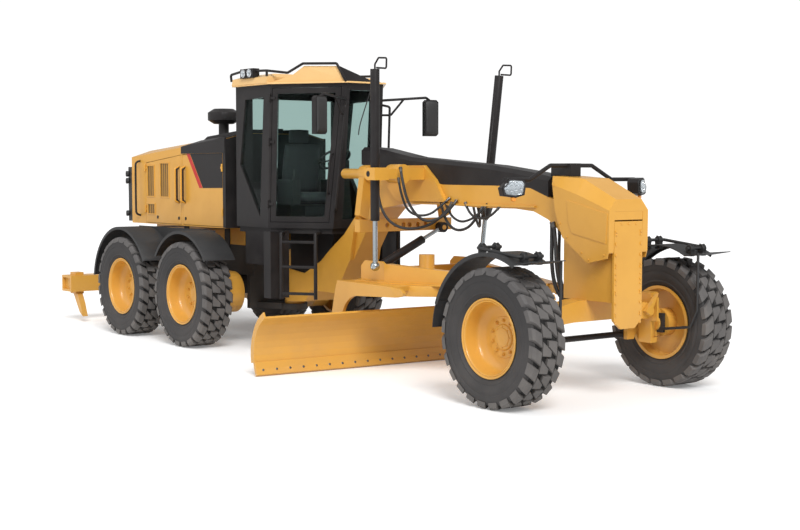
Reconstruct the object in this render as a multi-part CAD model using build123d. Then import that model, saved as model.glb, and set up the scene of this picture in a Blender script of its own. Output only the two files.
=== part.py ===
from build123d import *
import os
from math import asin, atan2, cos, degrees, hypot, radians, sin

# Motor grader. Millimetres. Station frame while building: X = 0 at the front
# axle, +X forward, +Y to the driver's left, Z up from the ground. Every node is
# moved by SHIFT_X when it is written, so the row's origin is under the middle.

# ---------------------------------------------------------------- stations
WHEELBASE = 6123.0            # front axle to the middle of the tandem
TANDEM_SPACING = 1523.0       # between the two rear axles of one side
TRACK_HALF = 1070.0           # machine centre to tyre centre
PIVOT_X = -4850.0             # articulation hinge
REAR_AXLE_X = -WHEELBASE
TANDEM_X = (REAR_AXLE_X + TANDEM_SPACING / 2, REAR_AXLE_X - TANDEM_SPACING / 2)
RUN_GAP = 0.05                # radial clearance of a running pin
SEAT_GAP = 0.3                # between faces that slide on each other

# ---------------------------------------------------------------- wheels
TYRE_R = 606.0                # to the lug tops
TYRE_HALF_W = 187.5
LUG_DEPTH = 24.0
LUG_COUNT = 24                # in each of the two rows
LUG_LEN = 152.0               # across the tread
LUG_WIDTH = 78.0              # around the tyre
LUG_SKEW = 28.0
LUG_START = 1.3               # first lug's angle
RIM_R = 330.0                 # bead seat
RIM_FLANGE_R = 348.0
RIM_WALL = 18.0
BEAD_W = 143.0                # half width between the rim flanges
FLANGE_T = 17.0
DISC_W = -30.0                # wheel disc's outer face, from the tyre centre
DISC_T = 20.0
HUB_R = 130.0                 # axle hub behind the disc
HUB_CAP_R = 110.0
BOLT_CIRCLE_R = 145.0
BOLT_COUNT = 10
AXLE_Z = TYRE_R
LUG_TOP = TYRE_R * cos(asin((LUG_WIDTH / 2 * cos(radians(LUG_SKEW))
                              + LUG_LEN / 2 * sin(radians(LUG_SKEW))) / TYRE_R))   # flat top, corners on TYRE_R
HUB_FACE = TRACK_HALF + DISC_W - DISC_T

# ---------------------------------------------------------------- frames
BEAM_HALF = 150.0             # front frame beam
GOOSE_HALF = 200.0            # diagonal rear part of the front frame
HITCH_PIN_R = 60.0
HITCH_BOSS_R = 115.0
HITCH_Z = (480.0, 1120.0)     # the front frame's hitch boss
HITCH_GAP = 0.3
PLATE_X = (430.0, 455.0)      # front push plate
PLATE_HALF = 176.0
PLATE_Z = (649.0, 1591.0)
BOLSTER_X = (-193.0, 430.0)   # front leg of the frame, over the axle
BOLSTER_Z = 880.0
RAIL_Y = (330.0, 400.0)       # rear frame rails
RAIL_Z = (800.0, 1150.0)
BUMPER_X = -8028.0

# ---------------------------------------------------------------- lift gear
BALL = (-300.0, 0.0, 930.0)   # drawbar's front ball
BALL_R = 70.0
BALL_PIN_R = 24.0             # cross pin through the ball
ROD_BALL = (-2315.0, 700.0, 1076.0)
ROD_BALL_R = 48.0
TRUNNION = (-2244.0, 753.0, 2000.0)
TRUNNION_R = 30.0
LIFT_R = 46.0                 # lift cylinder barrel
LIFT_BORE = 37.0
LIFT_ROD_R = 24.0
LIFT_START, LIFT_END = 462.0, 1958.0    # barrel ends, from the rod's ball
LIFT_PISTON = 1230.0
HUB_Y = 475.0                 # saddle's pivot shafts
SHAFT_R = 52.0
CLAW_GAP = 56.0               # trunnion cheeks from the cylinder's axis
CLAW_T = 30.0
LINK_BAR_X = (-2790.0, -2700.0)
LINK_BAR_Z = (1400.0, 1530.0)
LINK_PIN_Y = 560.0
CENTRE_EYE = (-2648.0, 433.0, 1430.0)
CENTRE_BALL = (CENTRE_EYE[0], -495.0, 1000.0)     # its barrel's ball on the drawbar
CENTRE_PIN_R = 25.0
CENTRE_START = 289.0          # barrel's rod end, from the rod's eye
CENTRE_PISTON = 732.0
CENTRE_PISTON_T = 28.0
BALL_GAP = 1.6                # beside a ball that its carrier swings past
CENTRE_BALL_R = 46.0
YOKE_X = (-2525.0, -2440.0)   # drawbar's cross beam
YOKE_TOP = 1045.0
END_X = (-2684.0, -2292.0)    # drawbar's end plates
END_Y = (577.0, 605.0)
END_TOP = 1118.0

# ---------------------------------------------------------------- blade
CIRCLE_X = -2300.0
CIRCLE_R = 776.0
CIRCLE_IN_R = 640.0
CIRCLE_TEETH = 36
CIRCLE_Z = (800.0, 905.0)
DRAWBAR_Z = (CIRCLE_Z[1] + SEAT_GAP, 990.0)     # bottom, and top at the front
ARM_Y = (776.0, 811.0)
BLADE_LEN = 3658.0
BLADE_H = 610.0
BLADE_T = 22.0
BLADE_ARC_R = 413.0
BLADE_YAW = 4.4
BLADE_PITCH = 17.0
BLADE_EDGE_LX = -365.0        # cutting edge behind the circle's centre
BLADE_STEPS = 10
EDGE_STEPS = 2                # steps of the section that the cutting edge covers
EDGE_T = 16.0
BLADE_TOP = 656.0             # highest point of the blade at rest
RAILS = ((-470.0, 430.0), (-500.0, 150.0))   # slide rails behind the mouldboard
RAIL_HALF = 22.0
TIP_PIVOT = (-600.0, 190.0)
TIP_PIN_R = 45.0

# ---------------------------------------------------------------- cab
CAB_Z = (1400.0, 2975.0)
CAB_FRONT_LOW = (-3600.0, 315.0)
CAB_MID_LOW = (-4234.0, 750.0)
CAB_FRONT_TOP_X = -3433.0
CAB_FRONT_TOP_HALF = 242.0
CAB_REAR_X = -4900.0
CAB_HALF = 750.0
CAB_WALL = 55.0
DOOR_LOW, DOOR_HIGH = 1470.0, 2930.0
DOOR_FRONT_GAP = 60.0
DOOR_T = 40.0
DOOR_EDGE = 30.0
DOOR_FRAME = 60.0             # width of a cab door's frame
GLASS_T = 6.0
HINGE_R = 11.0                # hinge knuckles of every door
HINGE_PIN_R = 5.0
HINGE_LEN = 30.0
HINGE_OUT = 15.0              # cab hinge line outside the door's face

# ---------------------------------------------------------------- hood
HOOD_X = (-5230.0, -7600.0)
HOOD_HALF = 700.0
HOOD_Z0 = 1360.0
HOOD_SIDE_Z = (2400.0, 2205.0)      # at the front, at the rear
HOOD_TOP_Z = (2470.0, 2290.0)
HOOD_TOP_HALF = 430.0
HOOD_T = 10.0
DOOR_GAP = 6.0
PANEL_T = 12.0
COVER_X = -6270.0             # rear edge of the dark hood cover
COVER_Z = 2238.0              # lower edge of its side band
COVER_T = 12.0

# ---------------------------------------------------------------- front axle
LEAN_Y, LEAN_Z = 640.0, 740.0
KING_Y = 790.0
KING_Z = (430.0, 900.0)
KING_BOSS = 48.0
LEAN_PIN_R = 40.0
KING_PIN_R = 35.0
LEAN_BAR_X, LEAN_BAR_Z = -190.0, 500.0

# ---------------------------------------------------------------- ripper
LINK_FRAME = (-8100.0, 620.0)        # lower link's pin on the bumper
LINK_BEAM = (-8570.0, 440.0)         # lower link's pin on the ripper beam
LINK_RISE = 340.0                    # upper pins above the lower ones
LINK_Y = 430.0
LINK_PIN_R = 25.0

SIDES = (("left", 1), ("right", -1))


# ================================================================ helpers
def box(x, y, z):
    """A box from three pairs of limits."""
    size = [abs(p[1] - p[0]) for p in (x, y, z)]
    mid = [(p[0] + p[1]) / 2 for p in (x, y, z)]
    return Pos(*mid) * Box(*size)


def outline(points, grow=0.0):
    """A closed face through the points, moved outwards by grow."""
    face = make_face(Polyline(*points, close=True))
    if grow:
        face = offset(face, amount=grow, kind=Kind.INTERSECTION)
    return face


def prism_y(points, y0, y1, grow=0.0):
    """An (X, Z) outline drawn out along Y."""
    return Pos(0, y0, 0) * extrude(Plane.XZ * outline(points, grow), -(y1 - y0))


def prism_x(points, x0, x1, grow=0.0):
    """A (Y, Z) outline drawn out along X."""
    return Pos(x0, 0, 0) * extrude(Plane.YZ * outline(points, grow), x1 - x0)


def prism_z(points, z0, z1, grow=0.0):
    """An (X, Y) outline drawn out along Z."""
    return Pos(0, 0, z0) * extrude(outline(points, grow), z1 - z0)


def rod(a, b, r, inner=0.0):
    """A round bar, or a tube, from point a to point b."""
    axis = Vector(*b) - Vector(*a)
    plane = Plane(origin=a, z_dir=axis)
    bar = extrude(plane * Circle(r), axis.length)
    if inner:
        bar -= extrude(plane * Circle(inner), axis.length)
    return bar


def cyl_x(y, z, r, x0, x1, inner=0.0):
    return rod((x0, y, z), (x1, y, z), r, inner)


def cyl_y(x, z, r, y0, y1, inner=0.0):
    return rod((x, y0, z), (x, y1, z), r, inner)


def cyl_z(x, y, r, z0, z1, inner=0.0):
    return rod((x, y, z0), (x, y, z1), r, inner)


def hoop(points, r, bend=2.0):
    """A round tube along straight runs, bent at each corner to bend times its radius."""
    if len(points) == 2:
        return rod(points[0], points[1], r)
    path = FilletPolyline(*points, radius=bend * r)
    return sweep(Plane(origin=path @ 0, z_dir=path % 0) * Circle(r), path=path)


def along(a, b, d):
    """The point d from a on the way to b."""
    a, b = Vector(*a), Vector(*b)
    return tuple(a + (b - a).normalized() * d)


def loft2(*sections):
    """A ruled body through closed outlines given as 3-D points."""
    return loft([make_face(Polyline(*p, close=True)) for p in sections], ruled=True)


def mirror_y(shape):
    return mirror(shape, about=Plane.XZ)


def both(shape):
    return shape + mirror_y(shape)


def sided(shape, side):
    """The left-hand shape, or its mirror image."""
    return shape if side > 0 else mirror_y(shape)


# ================================================================ wheels
def ring_outline(r, w):
    """A regular outline with one side per lug, at a height on the Z axis, its corners on radius r."""
    step = radians(360 / LUG_COUNT)
    return [(r * cos(i * step), r * sin(i * step), w) for i in range(LUG_COUNT)]


def tyre_shape():
    """Tyre about the Z axis: a carcass with a flat under each lug, and two rows of skewed lugs."""
    h, base = TYRE_HALF_W, TYRE_R - LUG_DEPTH
    half = [(h - 30, base), (h - 8, base - 20), (h, base - 60)]
    body = loft2(*[ring_outline(r, w) for w, r in [(-w, r) for w, r in reversed(half)] + half])
    recess = loft2(ring_outline(RIM_FLANGE_R + 6, BEAD_W), ring_outline(472, h + 1))
    body = body - recess - mirror(recess, about=Plane.XY) - Cylinder(RIM_R, 3 * h)
    step = 360 / LUG_COUNT
    lugs = []
    for row, start in ((1, LUG_START), (-1, LUG_START + step / 2)):
        block = Box(LUG_DEPTH + 20, LUG_WIDTH, LUG_LEN)
        block = Pos(LUG_TOP - LUG_DEPTH / 2 - 10, 0, row * (h - LUG_LEN / 2 - 8)) * Rot(row * LUG_SKEW, 0, 0) * block
        lugs += [Rot(0, 0, start + i * step) * block for i in range(LUG_COUNT)]
    keep = Cylinder(TYRE_R + 30, 2 * h - 4)
    return body + [lug & keep for lug in lugs]


def tyre(x, side, shape):
    return Pos(x, side * TRACK_HALF, AXLE_Z) * Rot(90, 0, 0) * Rot(0, 0, 90) * shape


def rim(x, side):
    """Deep dished rim: barrel, two flanges, disc, hub cap and wheel nuts."""
    low = (Align.CENTER, Align.CENTER, Align.MIN)
    b, f, bore = BEAD_W, FLANGE_T, RIM_R - RIM_WALL
    body = Pos(0, 0, -b) * Cylinder(RIM_R, 2 * b, align=low)
    for w in (-b - f, b):
        body += Pos(0, 0, w) * Cylinder(RIM_FLANGE_R, f, align=low)
    body -= Pos(0, 0, DISC_W) * Cylinder(bore, b + f - DISC_W, align=low)
    body -= Pos(0, 0, -b - f) * Cylinder(bore, DISC_W - DISC_T + b + f, align=low)
    body += Pos(0, 0, DISC_W) * Cone(bore, bore - 22, 30, align=low)
    body -= Pos(0, 0, DISC_W) * Cylinder(bore - 22, 40, align=low)
    body += Pos(0, 0, DISC_W) * Cylinder(HUB_CAP_R, 22, align=low)
    for i in range(BOLT_COUNT):
        turn = Rot(0, 0, (i + 0.5) * 360 / BOLT_COUNT)
        body += turn * Pos(BOLT_CIRCLE_R, 0, DISC_W) * Cylinder(13, 18, align=low)
    turn = Rot(-90, 0, 0) if side > 0 else Rot(90, 0, 0)
    return Pos(x, side * TRACK_HALF, AXLE_Z) * turn * body


# ================================================================ rear frame
def rear_frame():
    """Rails, cross members, axle tube, hitch ears, bumper and ripper lugs."""
    y0, y1 = RAIL_Y
    za, zb = RAIL_Z
    body = both(box((BUMPER_X + 28, -5130), RAIL_Y, RAIL_Z))
    for x in (-5180, REAR_AXLE_X, -7000, -7900):
        body += box((x - 60, x + 60), (-y1, y1), (za + 20, zb - 20))
    body += box((BUMPER_X, -7940), (-720, 720), (700, 1180))
    body += cyl_y(REAR_AXLE_X, AXLE_Z + 60, 170, -TANDEM_Y[0], TANDEM_Y[0])
    body += box((REAR_AXLE_X - 150, REAR_AXLE_X + 150), (-y1, y1), (650, za + 30))
    h0, h1 = HITCH_Z
    for lo, hi in ((h0 - 70, h0 - HITCH_GAP), (h1 + HITCH_GAP, h1 + 70)):
        ear = prism_z([(-5260, -330), (PIVOT_X - 50, -150), (PIVOT_X - 50, 150), (-5260, 330)], lo, hi)
        body += ear + cyl_z(PIVOT_X, 0, 150, lo, hi)
    body += cyl_z(PIVOT_X, 0, HITCH_PIN_R, h0 - 70, h1 + 70)
    body += box((-5260, -5200), (-y1, y1), (h0 - 70, h1 + 70))
    body += box((BUMPER_X, BUMPER_X + 38), (-560, 560), (540, 1180))
    for y in (LINK_Y, -LINK_Y):
        for rise in (0.0, LINK_RISE):
            body += clevis(LINK_FRAME[0], LINK_FRAME[1] + rise, BUMPER_X + 2, 45, y)
    return body


def engine():
    """The engine, a plain block on the rails."""
    return box((-6900, -5500), (-RAIL_Y[0], RAIL_Y[0]), (RAIL_Z[1] - 20, 1980))


TANDEM_R = 241.0
TANDEM_Y = (516.0, 726.0)


def tandem_case(side):
    """Chain case of one side, with the two wheel spindles."""
    y0, y1 = TANDEM_Y
    front, rear = TANDEM_X
    body = box((rear, front), TANDEM_Y, (AXLE_Z - TANDEM_R, AXLE_Z + TANDEM_R))
    body += box((rear + 330, front - 330), (y0, y1), (AXLE_Z - TANDEM_R, AXLE_Z + TANDEM_R + 60))
    body += cyl_y(REAR_AXLE_X, AXLE_Z, 200, y1, y1 + 40)
    for x in TANDEM_X:
        body += cyl_y(x, AXLE_Z, TANDEM_R, y0, y1)
        body += cyl_y(x, AXLE_Z, HUB_R + 20, y1, TRACK_HALF - 167)
        body += cyl_y(x, AXLE_Z, HUB_R, TRACK_HALF - 167, HUB_FACE)
    return sided(body, side)


def arch(x, r, y0, y1, a0, a1, t=8.0, lip=35.0):
    """A curved mudguard sheet over a wheel between two angles from +X, with a turned edge."""
    def ring(ro, ri, ya, yb):
        p = [(x + r0 * cos(radians(a)), AXLE_Z + r0 * sin(radians(a)))
             for r0, a in ((ro, a0), (ro, (a0 + a1) / 2), (ro, a1), (ri, a1), (ri, (a0 + a1) / 2), (ri, a0))]
        edge = ThreePointArc(*p[:3]) + Line(p[2], p[3]) + ThreePointArc(*p[3:]) + Line(p[5], p[0])
        return Pos(0, ya, 0) * extrude(Plane.XZ * make_face(edge), -(yb - ya))
    return ring(r, r - t, y0, y1) + ring(r, r - lip, y1 - t, y1)


# centre X offset from the axle, start angle, end angle of each rear mudguard
REAR_ARCHES = ((0, 35, 145), (0, 28, 172))
ARCH_R = 735.0
ARCH_Y = (860.0, 1250.0)


def rear_fenders(side):
    """The two mudguards of one side on their shared bracket."""
    top = AXLE_Z + ARCH_R
    body = box((-7100, -5200), (ARCH_Y[0] - 5, ARCH_Y[0] + 3), (1180, top + 2))
    for x, (dx, a0, a1) in zip(TANDEM_X, REAR_ARCHES):
        body += arch(x + dx, ARCH_R, ARCH_Y[0], ARCH_Y[1], a0, a1)
    for x in (-6700, -5700):
        body += box((x - 60, x + 60), (RAIL_Y[1], RAIL_Y[1] + 8), (1000, top))
        body += box((x - 60, x + 60), (RAIL_Y[1], ARCH_Y[0]), (top - 8, top))
    return sided(body, side)


# ================================================================ hood
def hood_section(x, grow=0.0):
    """Hood outline at a station, moved outwards by grow."""
    f = (x - HOOD_X[0]) / (HOOD_X[1] - HOOD_X[0])
    side = HOOD_SIDE_Z[0] + f * (HOOD_SIDE_Z[1] - HOOD_SIDE_Z[0]) + grow * 0.6
    top = HOOD_TOP_Z[0] + f * (HOOD_TOP_Z[1] - HOOD_TOP_Z[0]) + grow
    h, w, z0 = HOOD_HALF + grow, HOOD_TOP_HALF, HOOD_Z0
    return [(x, -h, z0), (x, -h, side), (x, -w, top), (x, w, top), (x, h, side), (x, h, z0)]


# X range, Z at the bottom, Z of the top edge at each end, hinge end (0 front, 1 rear)
HOOD_DOORS = {
    "front": ((-6255.0, -5290.0), 1372.0, (2229.0, 2229.0), 0),
    "rear": ((-7215.0, -6285.0), 1372.0, (2133.0, 2226.0), 1),
}
# per door, sunk screens: X range, Z range
SCREENS = {
    "front": (),
    "rear": (((-7164, -6993), (1713, 2090)), ((-6820, -6609), (1709, 2120)), ((-7158, -6983), (1491, 1608))),
}
HOOD_HINGES = (1500.0, 2020.0)


def hood_door_outline(which, grow):
    (a, b), lo, (za, zb), _ = HOOD_DOORS[which]
    g = grow - DOOR_GAP
    return [(a - g, lo - g), (b + g, lo - g), (b + g, zb + g), (a - g, za + g)]


def hinge_x(which):
    (a, b), _, _, end = HOOD_DOORS[which]
    return (b - DOOR_GAP / 2) if end == 0 else (a + DOOR_GAP / 2)


def hood_shell():
    """Sheet-metal engine enclosure with its service openings and hinge knuckles."""
    x0, x1 = HOOD_X
    body = loft2(hood_section(x0), hood_section(x1))
    body -= loft2(hood_section(x0 - HOOD_T, -HOOD_T), hood_section(x1 + HOOD_T, -HOOD_T))
    body -= box((x1 - 10, x1 + 120), (-560, 560), (1450, 2120))
    for which in HOOD_DOORS:
        hole = prism_y(hood_door_outline(which, DOOR_GAP), 600, 800)
        body -= both(hole)
        (_, _), _, _, end = HOOD_DOORS[which]
        out, xh = (1 if end == 0 else -1), hinge_x(which)
        for z in HOOD_HINGES:
            for z0 in (z, z + 2 * HINGE_LEN):
                leaf = box((xh, xh + out * 40), (HOOD_HALF - 2, HOOD_HALF + 5), (z0, z0 + HINGE_LEN))
                body += both(leaf + cyl_z(xh, HOOD_HALF + HINGE_R + 1, HINGE_R, z0, z0 + HINGE_LEN))
            body += both(cyl_z(xh, HOOD_HALF + HINGE_R + 1, HINGE_PIN_R, z, z + 3 * HINGE_LEN))
    for _, s in SIDES:
        body += box((-7500, -5300), sorted((s * RAIL_Y[0], s * (HOOD_HALF - 5))), (HOOD_Z0, HOOD_Z0 + 10))
        body += box((-7500, -5300), sorted((s * RAIL_Y[0], s * RAIL_Y[1])), (RAIL_Z[1], HOOD_Z0 + 10))
    return body


def hood_door(which, side):
    """One hinged service panel with its sunk screens, handle and hinge knuckles."""
    panel = prism_y(hood_door_outline(which, 0.0), HOOD_HALF - PANEL_T, HOOD_HALF)
    for (a, b), (lo, hi) in SCREENS[which]:
        panel -= box((a, b), (HOOD_HALF - 6, HOOD_HALF + 5), (lo, hi))
        count = max(2, int((b - a) // 45))
        for i in range(1, count):
            x = a + (b - a) * i / count
            panel += box((x - 4, x + 4), (HOOD_HALF - 7, HOOD_HALF - 1), (lo - 1, hi + 1))
    (a, b), lo, _, end = HOOD_DOORS[which]
    inward, xh, yh = (-1 if end == 0 else 1), hinge_x(which), HOOD_HALF + HINGE_R + 1
    for z in HOOD_HINGES:
        z0, z1 = z + HINGE_LEN + SEAT_GAP, z + 2 * HINGE_LEN - SEAT_GAP
        leaf = box((xh, xh + inward * 45), (HOOD_HALF + 1, HOOD_HALF + 6), (z0, z1))
        leaf += box((xh + inward * 8, xh + inward * 45), (HOOD_HALF - 2, HOOD_HALF + 6), (z0, z1))
        panel += leaf + cyl_z(xh, yh, HINGE_R, z0, z1)
        panel -= cyl_z(xh, yh, HINGE_PIN_R + RUN_GAP, z0 - 5, z1 + 5)
    x = (a + 60) if end == 0 else (b - 60)
    grip = [(x, HOOD_HALF - 2, 1640), (x, HOOD_HALF + 55, 1660), (x, HOOD_HALF + 55, 2060), (x, HOOD_HALF - 2, 2080)]
    panel += hoop(grip, 12)
    return sided(panel, side)


def hood_cover():
    """Dark cover over the front of the hood, air cleaner and exhaust stack."""
    x0, x1 = HOOD_X[0], COVER_X
    skin = loft2(hood_section(x0, COVER_T), hood_section(x1, COVER_T))
    skin -= loft2(hood_section(x0 + 1, 0.0), hood_section(x1 - 1, 0.0))
    skin -= box((x0 + 50, x1 - 50), (-900, 900), (1000, COVER_Z))
    fall = (HOOD_TOP_Z[0] - HOOD_TOP_Z[1]) / (HOOD_X[0] - HOOD_X[1])
    top = HOOD_TOP_Z[0]
    for y0, y1, rise in ((-410, -150, 46), (-120, 120, 60), (150, 410, 46)):
        rib = [(x0 - 30, top + 2), (x0 - 30, top + rise), (x1 + 120, top + rise - 900 * fall),
               (x1 + 20, top - 1020 * fall + 10), (x1 + 20, top - 1020 * fall + 2)]
        skin += prism_y(rib, y0, y1)
    skin += cyl_z(-5940, -300, 62, 2440, 2620)
    skin += Pos(-5940, -300, 2598) * Cone(120, 192, 45, align=(Align.CENTER, Align.CENTER, Align.MIN))
    skin += cyl_z(-5940, -300, 192, 2640, 2735)
    skin += Pos(-5940, -300, 2734) * Cone(192, 120, 46, align=(Align.CENTER, Align.CENTER, Align.MIN))
    skin += cyl_z(-5700, 250, 66, 2440, 2960)
    return skin


GRILLE_HALF = 600.0
GRILLE_X = -7770.0
GRILLE_Z = (1365.0, 2150.0)
SLAT_PITCH = 60.0


def rear_grille():
    """Cooler frame at the tail: a surround, slats and two lamps."""
    x1, (z0, z1), h = HOOD_X[1], GRILLE_Z, GRILLE_HALF
    body = box((GRILLE_X, x1), (-h, h), GRILLE_Z)
    body -= box((GRILLE_X - 1, GRILLE_X + 120), (-h + 50, h - 50), (z0 + 50, z1 - 50))
    z = z0 + 50 + SLAT_PITCH / 2
    while z < z1 - 60:
        body += prism_y([(GRILLE_X + 20, z - 14), (GRILLE_X + 28, z - 18), (GRILLE_X + 70, z + 14),
                         (GRILLE_X + 62, z + 18)], -h + 49, h - 49)
        z += SLAT_PITCH
    for y in (-200, 200):
        body += box((GRILLE_X + 15, GRILLE_X + 121), (y - 12, y + 12), (z0 + 49, z1 - 49))
    for _, s in SIDES:
        body += box((GRILLE_X - 45, GRILLE_X + 1), sorted((s * (h - 130), s * (h - 10))), (z1 - 150, z1 - 60))
    return body


# ================================================================ ripper
def link_pair(rise, half, r=28.0):
    """Two parallel links between the bumper pins and the beam pins."""
    (xa, za), (xb, zb) = LINK_FRAME, LINK_BEAM
    body = None
    for y in (LINK_Y, -LINK_Y):
        bar = rod((xa, y, za + rise), (xb, y, zb + rise), r)
        for x, z in ((xa, za), (xb, zb)):
            bar += cyl_y(x, z + rise, 52, y - half, y + half)
            bar -= cyl_y(x, z + rise, LINK_PIN_R + RUN_GAP, y - half - 5, y + half + 5)
        body = bar if body is None else body + bar
    return body


def lower_links():
    """Lower ripper links, tied by a cross tube."""
    (xa, za), (xb, zb) = LINK_FRAME, LINK_BEAM
    return link_pair(0.0, 30) + cyl_y((xa + xb) / 2, (za + zb) / 2, 30, -LINK_Y, LINK_Y)


def upper_links():
    return link_pair(LINK_RISE, 30)


def clevis(x, z, x_base, z_half, y, gap=31.0, t=20.0):
    """Two cheeks and a pin at one link end, joined to a wall at x_base."""
    lo, hi = sorted((x + (40 if x_base < x else -40), x_base))
    body = None
    for a, b in ((y - gap - t, y - gap), (y + gap, y + gap + t)):
        cheek = box((lo, hi), (a, b), (z - z_half, z + z_half)) + cyl_y(x, z, z_half, a, b)
        body = cheek if body is None else body + cheek
    return body + cyl_y(x, z, LINK_PIN_R, y - gap - t, y + gap + t)


SHANKS = (-950.0, 0.0, 950.0)
SHANK_SIDE = [(-8831, 405), (-8700, 405), (-8600, 250), (-8560, 150), (-8525, 76), (-8620, 130), (-8700, 230)]


def ripper_beam():
    """Cross beam with three shanks in their sockets."""
    body = box((-8920, -8631), (-1100, 1100), (405, 620))
    body -= box((-8890, -8660), (-1101, -1060), (435, 590)) + box((-8890, -8660), (1060, 1101), (435, 590))
    for y in SHANKS:
        body += prism_y(SHANK_SIDE, y - 38, y + 38)
        body += box((-8850, -8690), (y - 60, y + 60), (370, 660))
    body += box((-8700, -8660), (-520, 520), (400, LINK_BEAM[1] + LINK_RISE + 60))
    for y in (LINK_Y, -LINK_Y):
        for rise in (0.0, LINK_RISE):
            body += clevis(LINK_BEAM[0], LINK_BEAM[1] + rise, -8662, 45, y)
    return body


# ================================================================ front frame
BEAM_SIDE = [(430, 880), (430, 1500), (330, 1640), (-404, 1790), (-645, 1870), (-1067, 1888), (-1920, 1892),
             (-2123, 1926), (-3000, 2010), (-3100, 1900), (-3342, 1543), (-3558, 1337), (-3617, 822),
             (-3450, 1060), (-3200, 1400), (-2900, 1640), (-2471, 1701), (-1806, 1690), (-1351, 1673),
             (-839, 1675), (-594, 1655), (-403, 1586), (-238, 1477), (-193, 1432), (-193, 880)]
GOOSE_SIDE = [(-3342, 1543), (-3558, 1337), (-3846, 1148), (-4004, 1026), (-4340, 865), (-4650, 900),
              (-4700, 900), (-4700, 520), (-4330, 545), (-4215, BLADE_TOP + 25), (-3753, BLADE_TOP + 25), (-3617, 822), (-3450, 1060)]


def front_frame():
    """Box beam, gooseneck, hitch boss, front leg with ball seat, and push plate."""
    h, (z0, z1) = BEAM_HALF, HITCH_Z
    body = prism_y(BEAM_SIDE, -h, h) + prism_y(GOOSE_SIDE, -GOOSE_HALF, GOOSE_HALF)
    tongue = [(-4600, 700), (-4700, z1 - 60), (PIVOT_X, z1 - 60), (PIVOT_X, z0 + 60), (-4600, z0 + 80)]
    body += prism_y(tongue, -80, 80)
    body += cyl_z(PIVOT_X, 0, HITCH_BOSS_R, z0, z1)
    body -= cyl_z(PIVOT_X, 0, HITCH_PIN_R + RUN_GAP, z0 - 5, z1 + 5)
    body += box((-2400, -560), (-h - 25, h + 25), (1690, 1708))
    bx, _, bz = BALL
    body += cyl_x(0, bz, BALL_R + 20, BOLSTER_X[0] - 70, BOLSTER_X[0] + 5)
    body -= Pos(*BALL) * Rot(0, 90, 0) * Sphere(BALL_R + SEAT_GAP)
    px, (lo, hi) = PLATE_HALF, PLATE_Z
    plate = [(-px, hi), (-px, lo + 75), (-px / 2, lo), (px / 2, lo), (px, lo + 75), (px, hi)]
    body += prism_x(plate, *PLATE_X)
    for y in (-px + 22, px - 22):
        for z in range(int(lo) + 120, int(hi), 105):
            body += cyl_x(y, z, 11, PLATE_X[1] - 2, PLATE_X[1] + 9)
    return body


NOSE_HALF = 245.0
NOSE_T = 8.0
# X, Z of the side's top edge, Z of the top, half width of the top
NOSE_SECTIONS = ((-404, 1945, 1990, 205), (60, 1822, 1962, 160), (456, 1687, 1782, 160))
NOSE_KEEP = [(-404, 2100), (470, 2100), (456, 1600), (452, 1330), (435, 1270), (194, 1219), (-121, 1437),
             (-214, 1659), (-253, 1900), (-300, 1990)]


def nose_block(grow):
    sections = []
    for x, side, top, half in NOSE_SECTIONS:
        h = NOSE_HALF + grow
        sections.append([(x, -h, 1000), (x, -h, side + grow * 0.5), (x, -half, top + grow), (x, half, top + grow),
                         (x, h, side + grow * 0.5), (x, h, 1000)])
    return loft2(*sections)


def nose_cover():
    """Faceted sheet cover over the front of the frame."""
    body = nose_block(0.0) & prism_y(NOSE_KEEP, -300, 300)
    inner = nose_block(-NOSE_T) & box((-500, 456 - NOSE_T), (-300, 300), (900, 2100))
    body -= inner
    body -= box((400, 470), (-PLATE_HALF - 2, PLATE_HALF + 2), (1000, 1678))
    raised = [(-60, 1770), (-44, 1591), (0, 1480), (420, 1400), (440, 1660)]
    body += both(prism_y(raised, NOSE_HALF - 2, NOSE_HALF + 6))
    return body


def frame_cover():
    """Dark top cover along the beam."""
    side = [(-404, 1790), (-404, 1975), (-671, 2018), (-1232, 2085), (-2475, 2172), (-3077, 2272),
            (-3300, 2285), (-3300, 2100), (-3000, 2010), (-2123, 1926), (-1920, 1892), (-1067, 1888), (-645, 1870)]
    body = prism_y(side, -BEAM_HALF, BEAM_HALF)
    for (xa, za), (xb, zb) in zip(side[1:6], side[2:7]):
        for s in (1, -1):
            cut = [(xa + 1, s * 105, za + 1), (xa + 1, s * 160, za - 48), (xa + 1, s * 160, za + 20)]
            end = [(xb - 1, y, z + zb - za) for _, y, z in cut]
            body -= loft2(cut, end)
    return body


LAMP = (-190.0, 790.0, 1880.0)
BAR_X = -260.0
BAR_POINTS = ((830, 1950), (520, 1950), (262, 2078))


def lamp_bar():
    """Bent tube over the nose with the two headlamps."""
    left = [(BAR_X, y, z) for y, z in BAR_POINTS]
    body = hoop(left + [(x, -y, z) for x, y, z in reversed(left)], 19)
    block = [(-460, 1950), (-410, 1950), (-408, 1990.6), (-200, 1978.1), (-200, 2098), (-460, 2098)]
    body += prism_y(block, -62, 62)
    x, y, z = LAMP
    for s in (-1, 1):
        lamp = Pos(x, s * y, z) * Rot(0, 0, s * 22)
        shell = [(-62, 45), (-50, 86), (95, 76), (116, 40), (100, -62), (20, -84), (-95, -70), (-112, 0)]
        head = extrude(Plane.YZ * outline([(-s * a, b) for a, b in shell]), 100)
        body += lamp * Pos(-50, 0, 0) * head
        body += rod((BAR_X, s * y, 1950), (x - 30, s * y, z + 30), 16)
    return body


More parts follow.
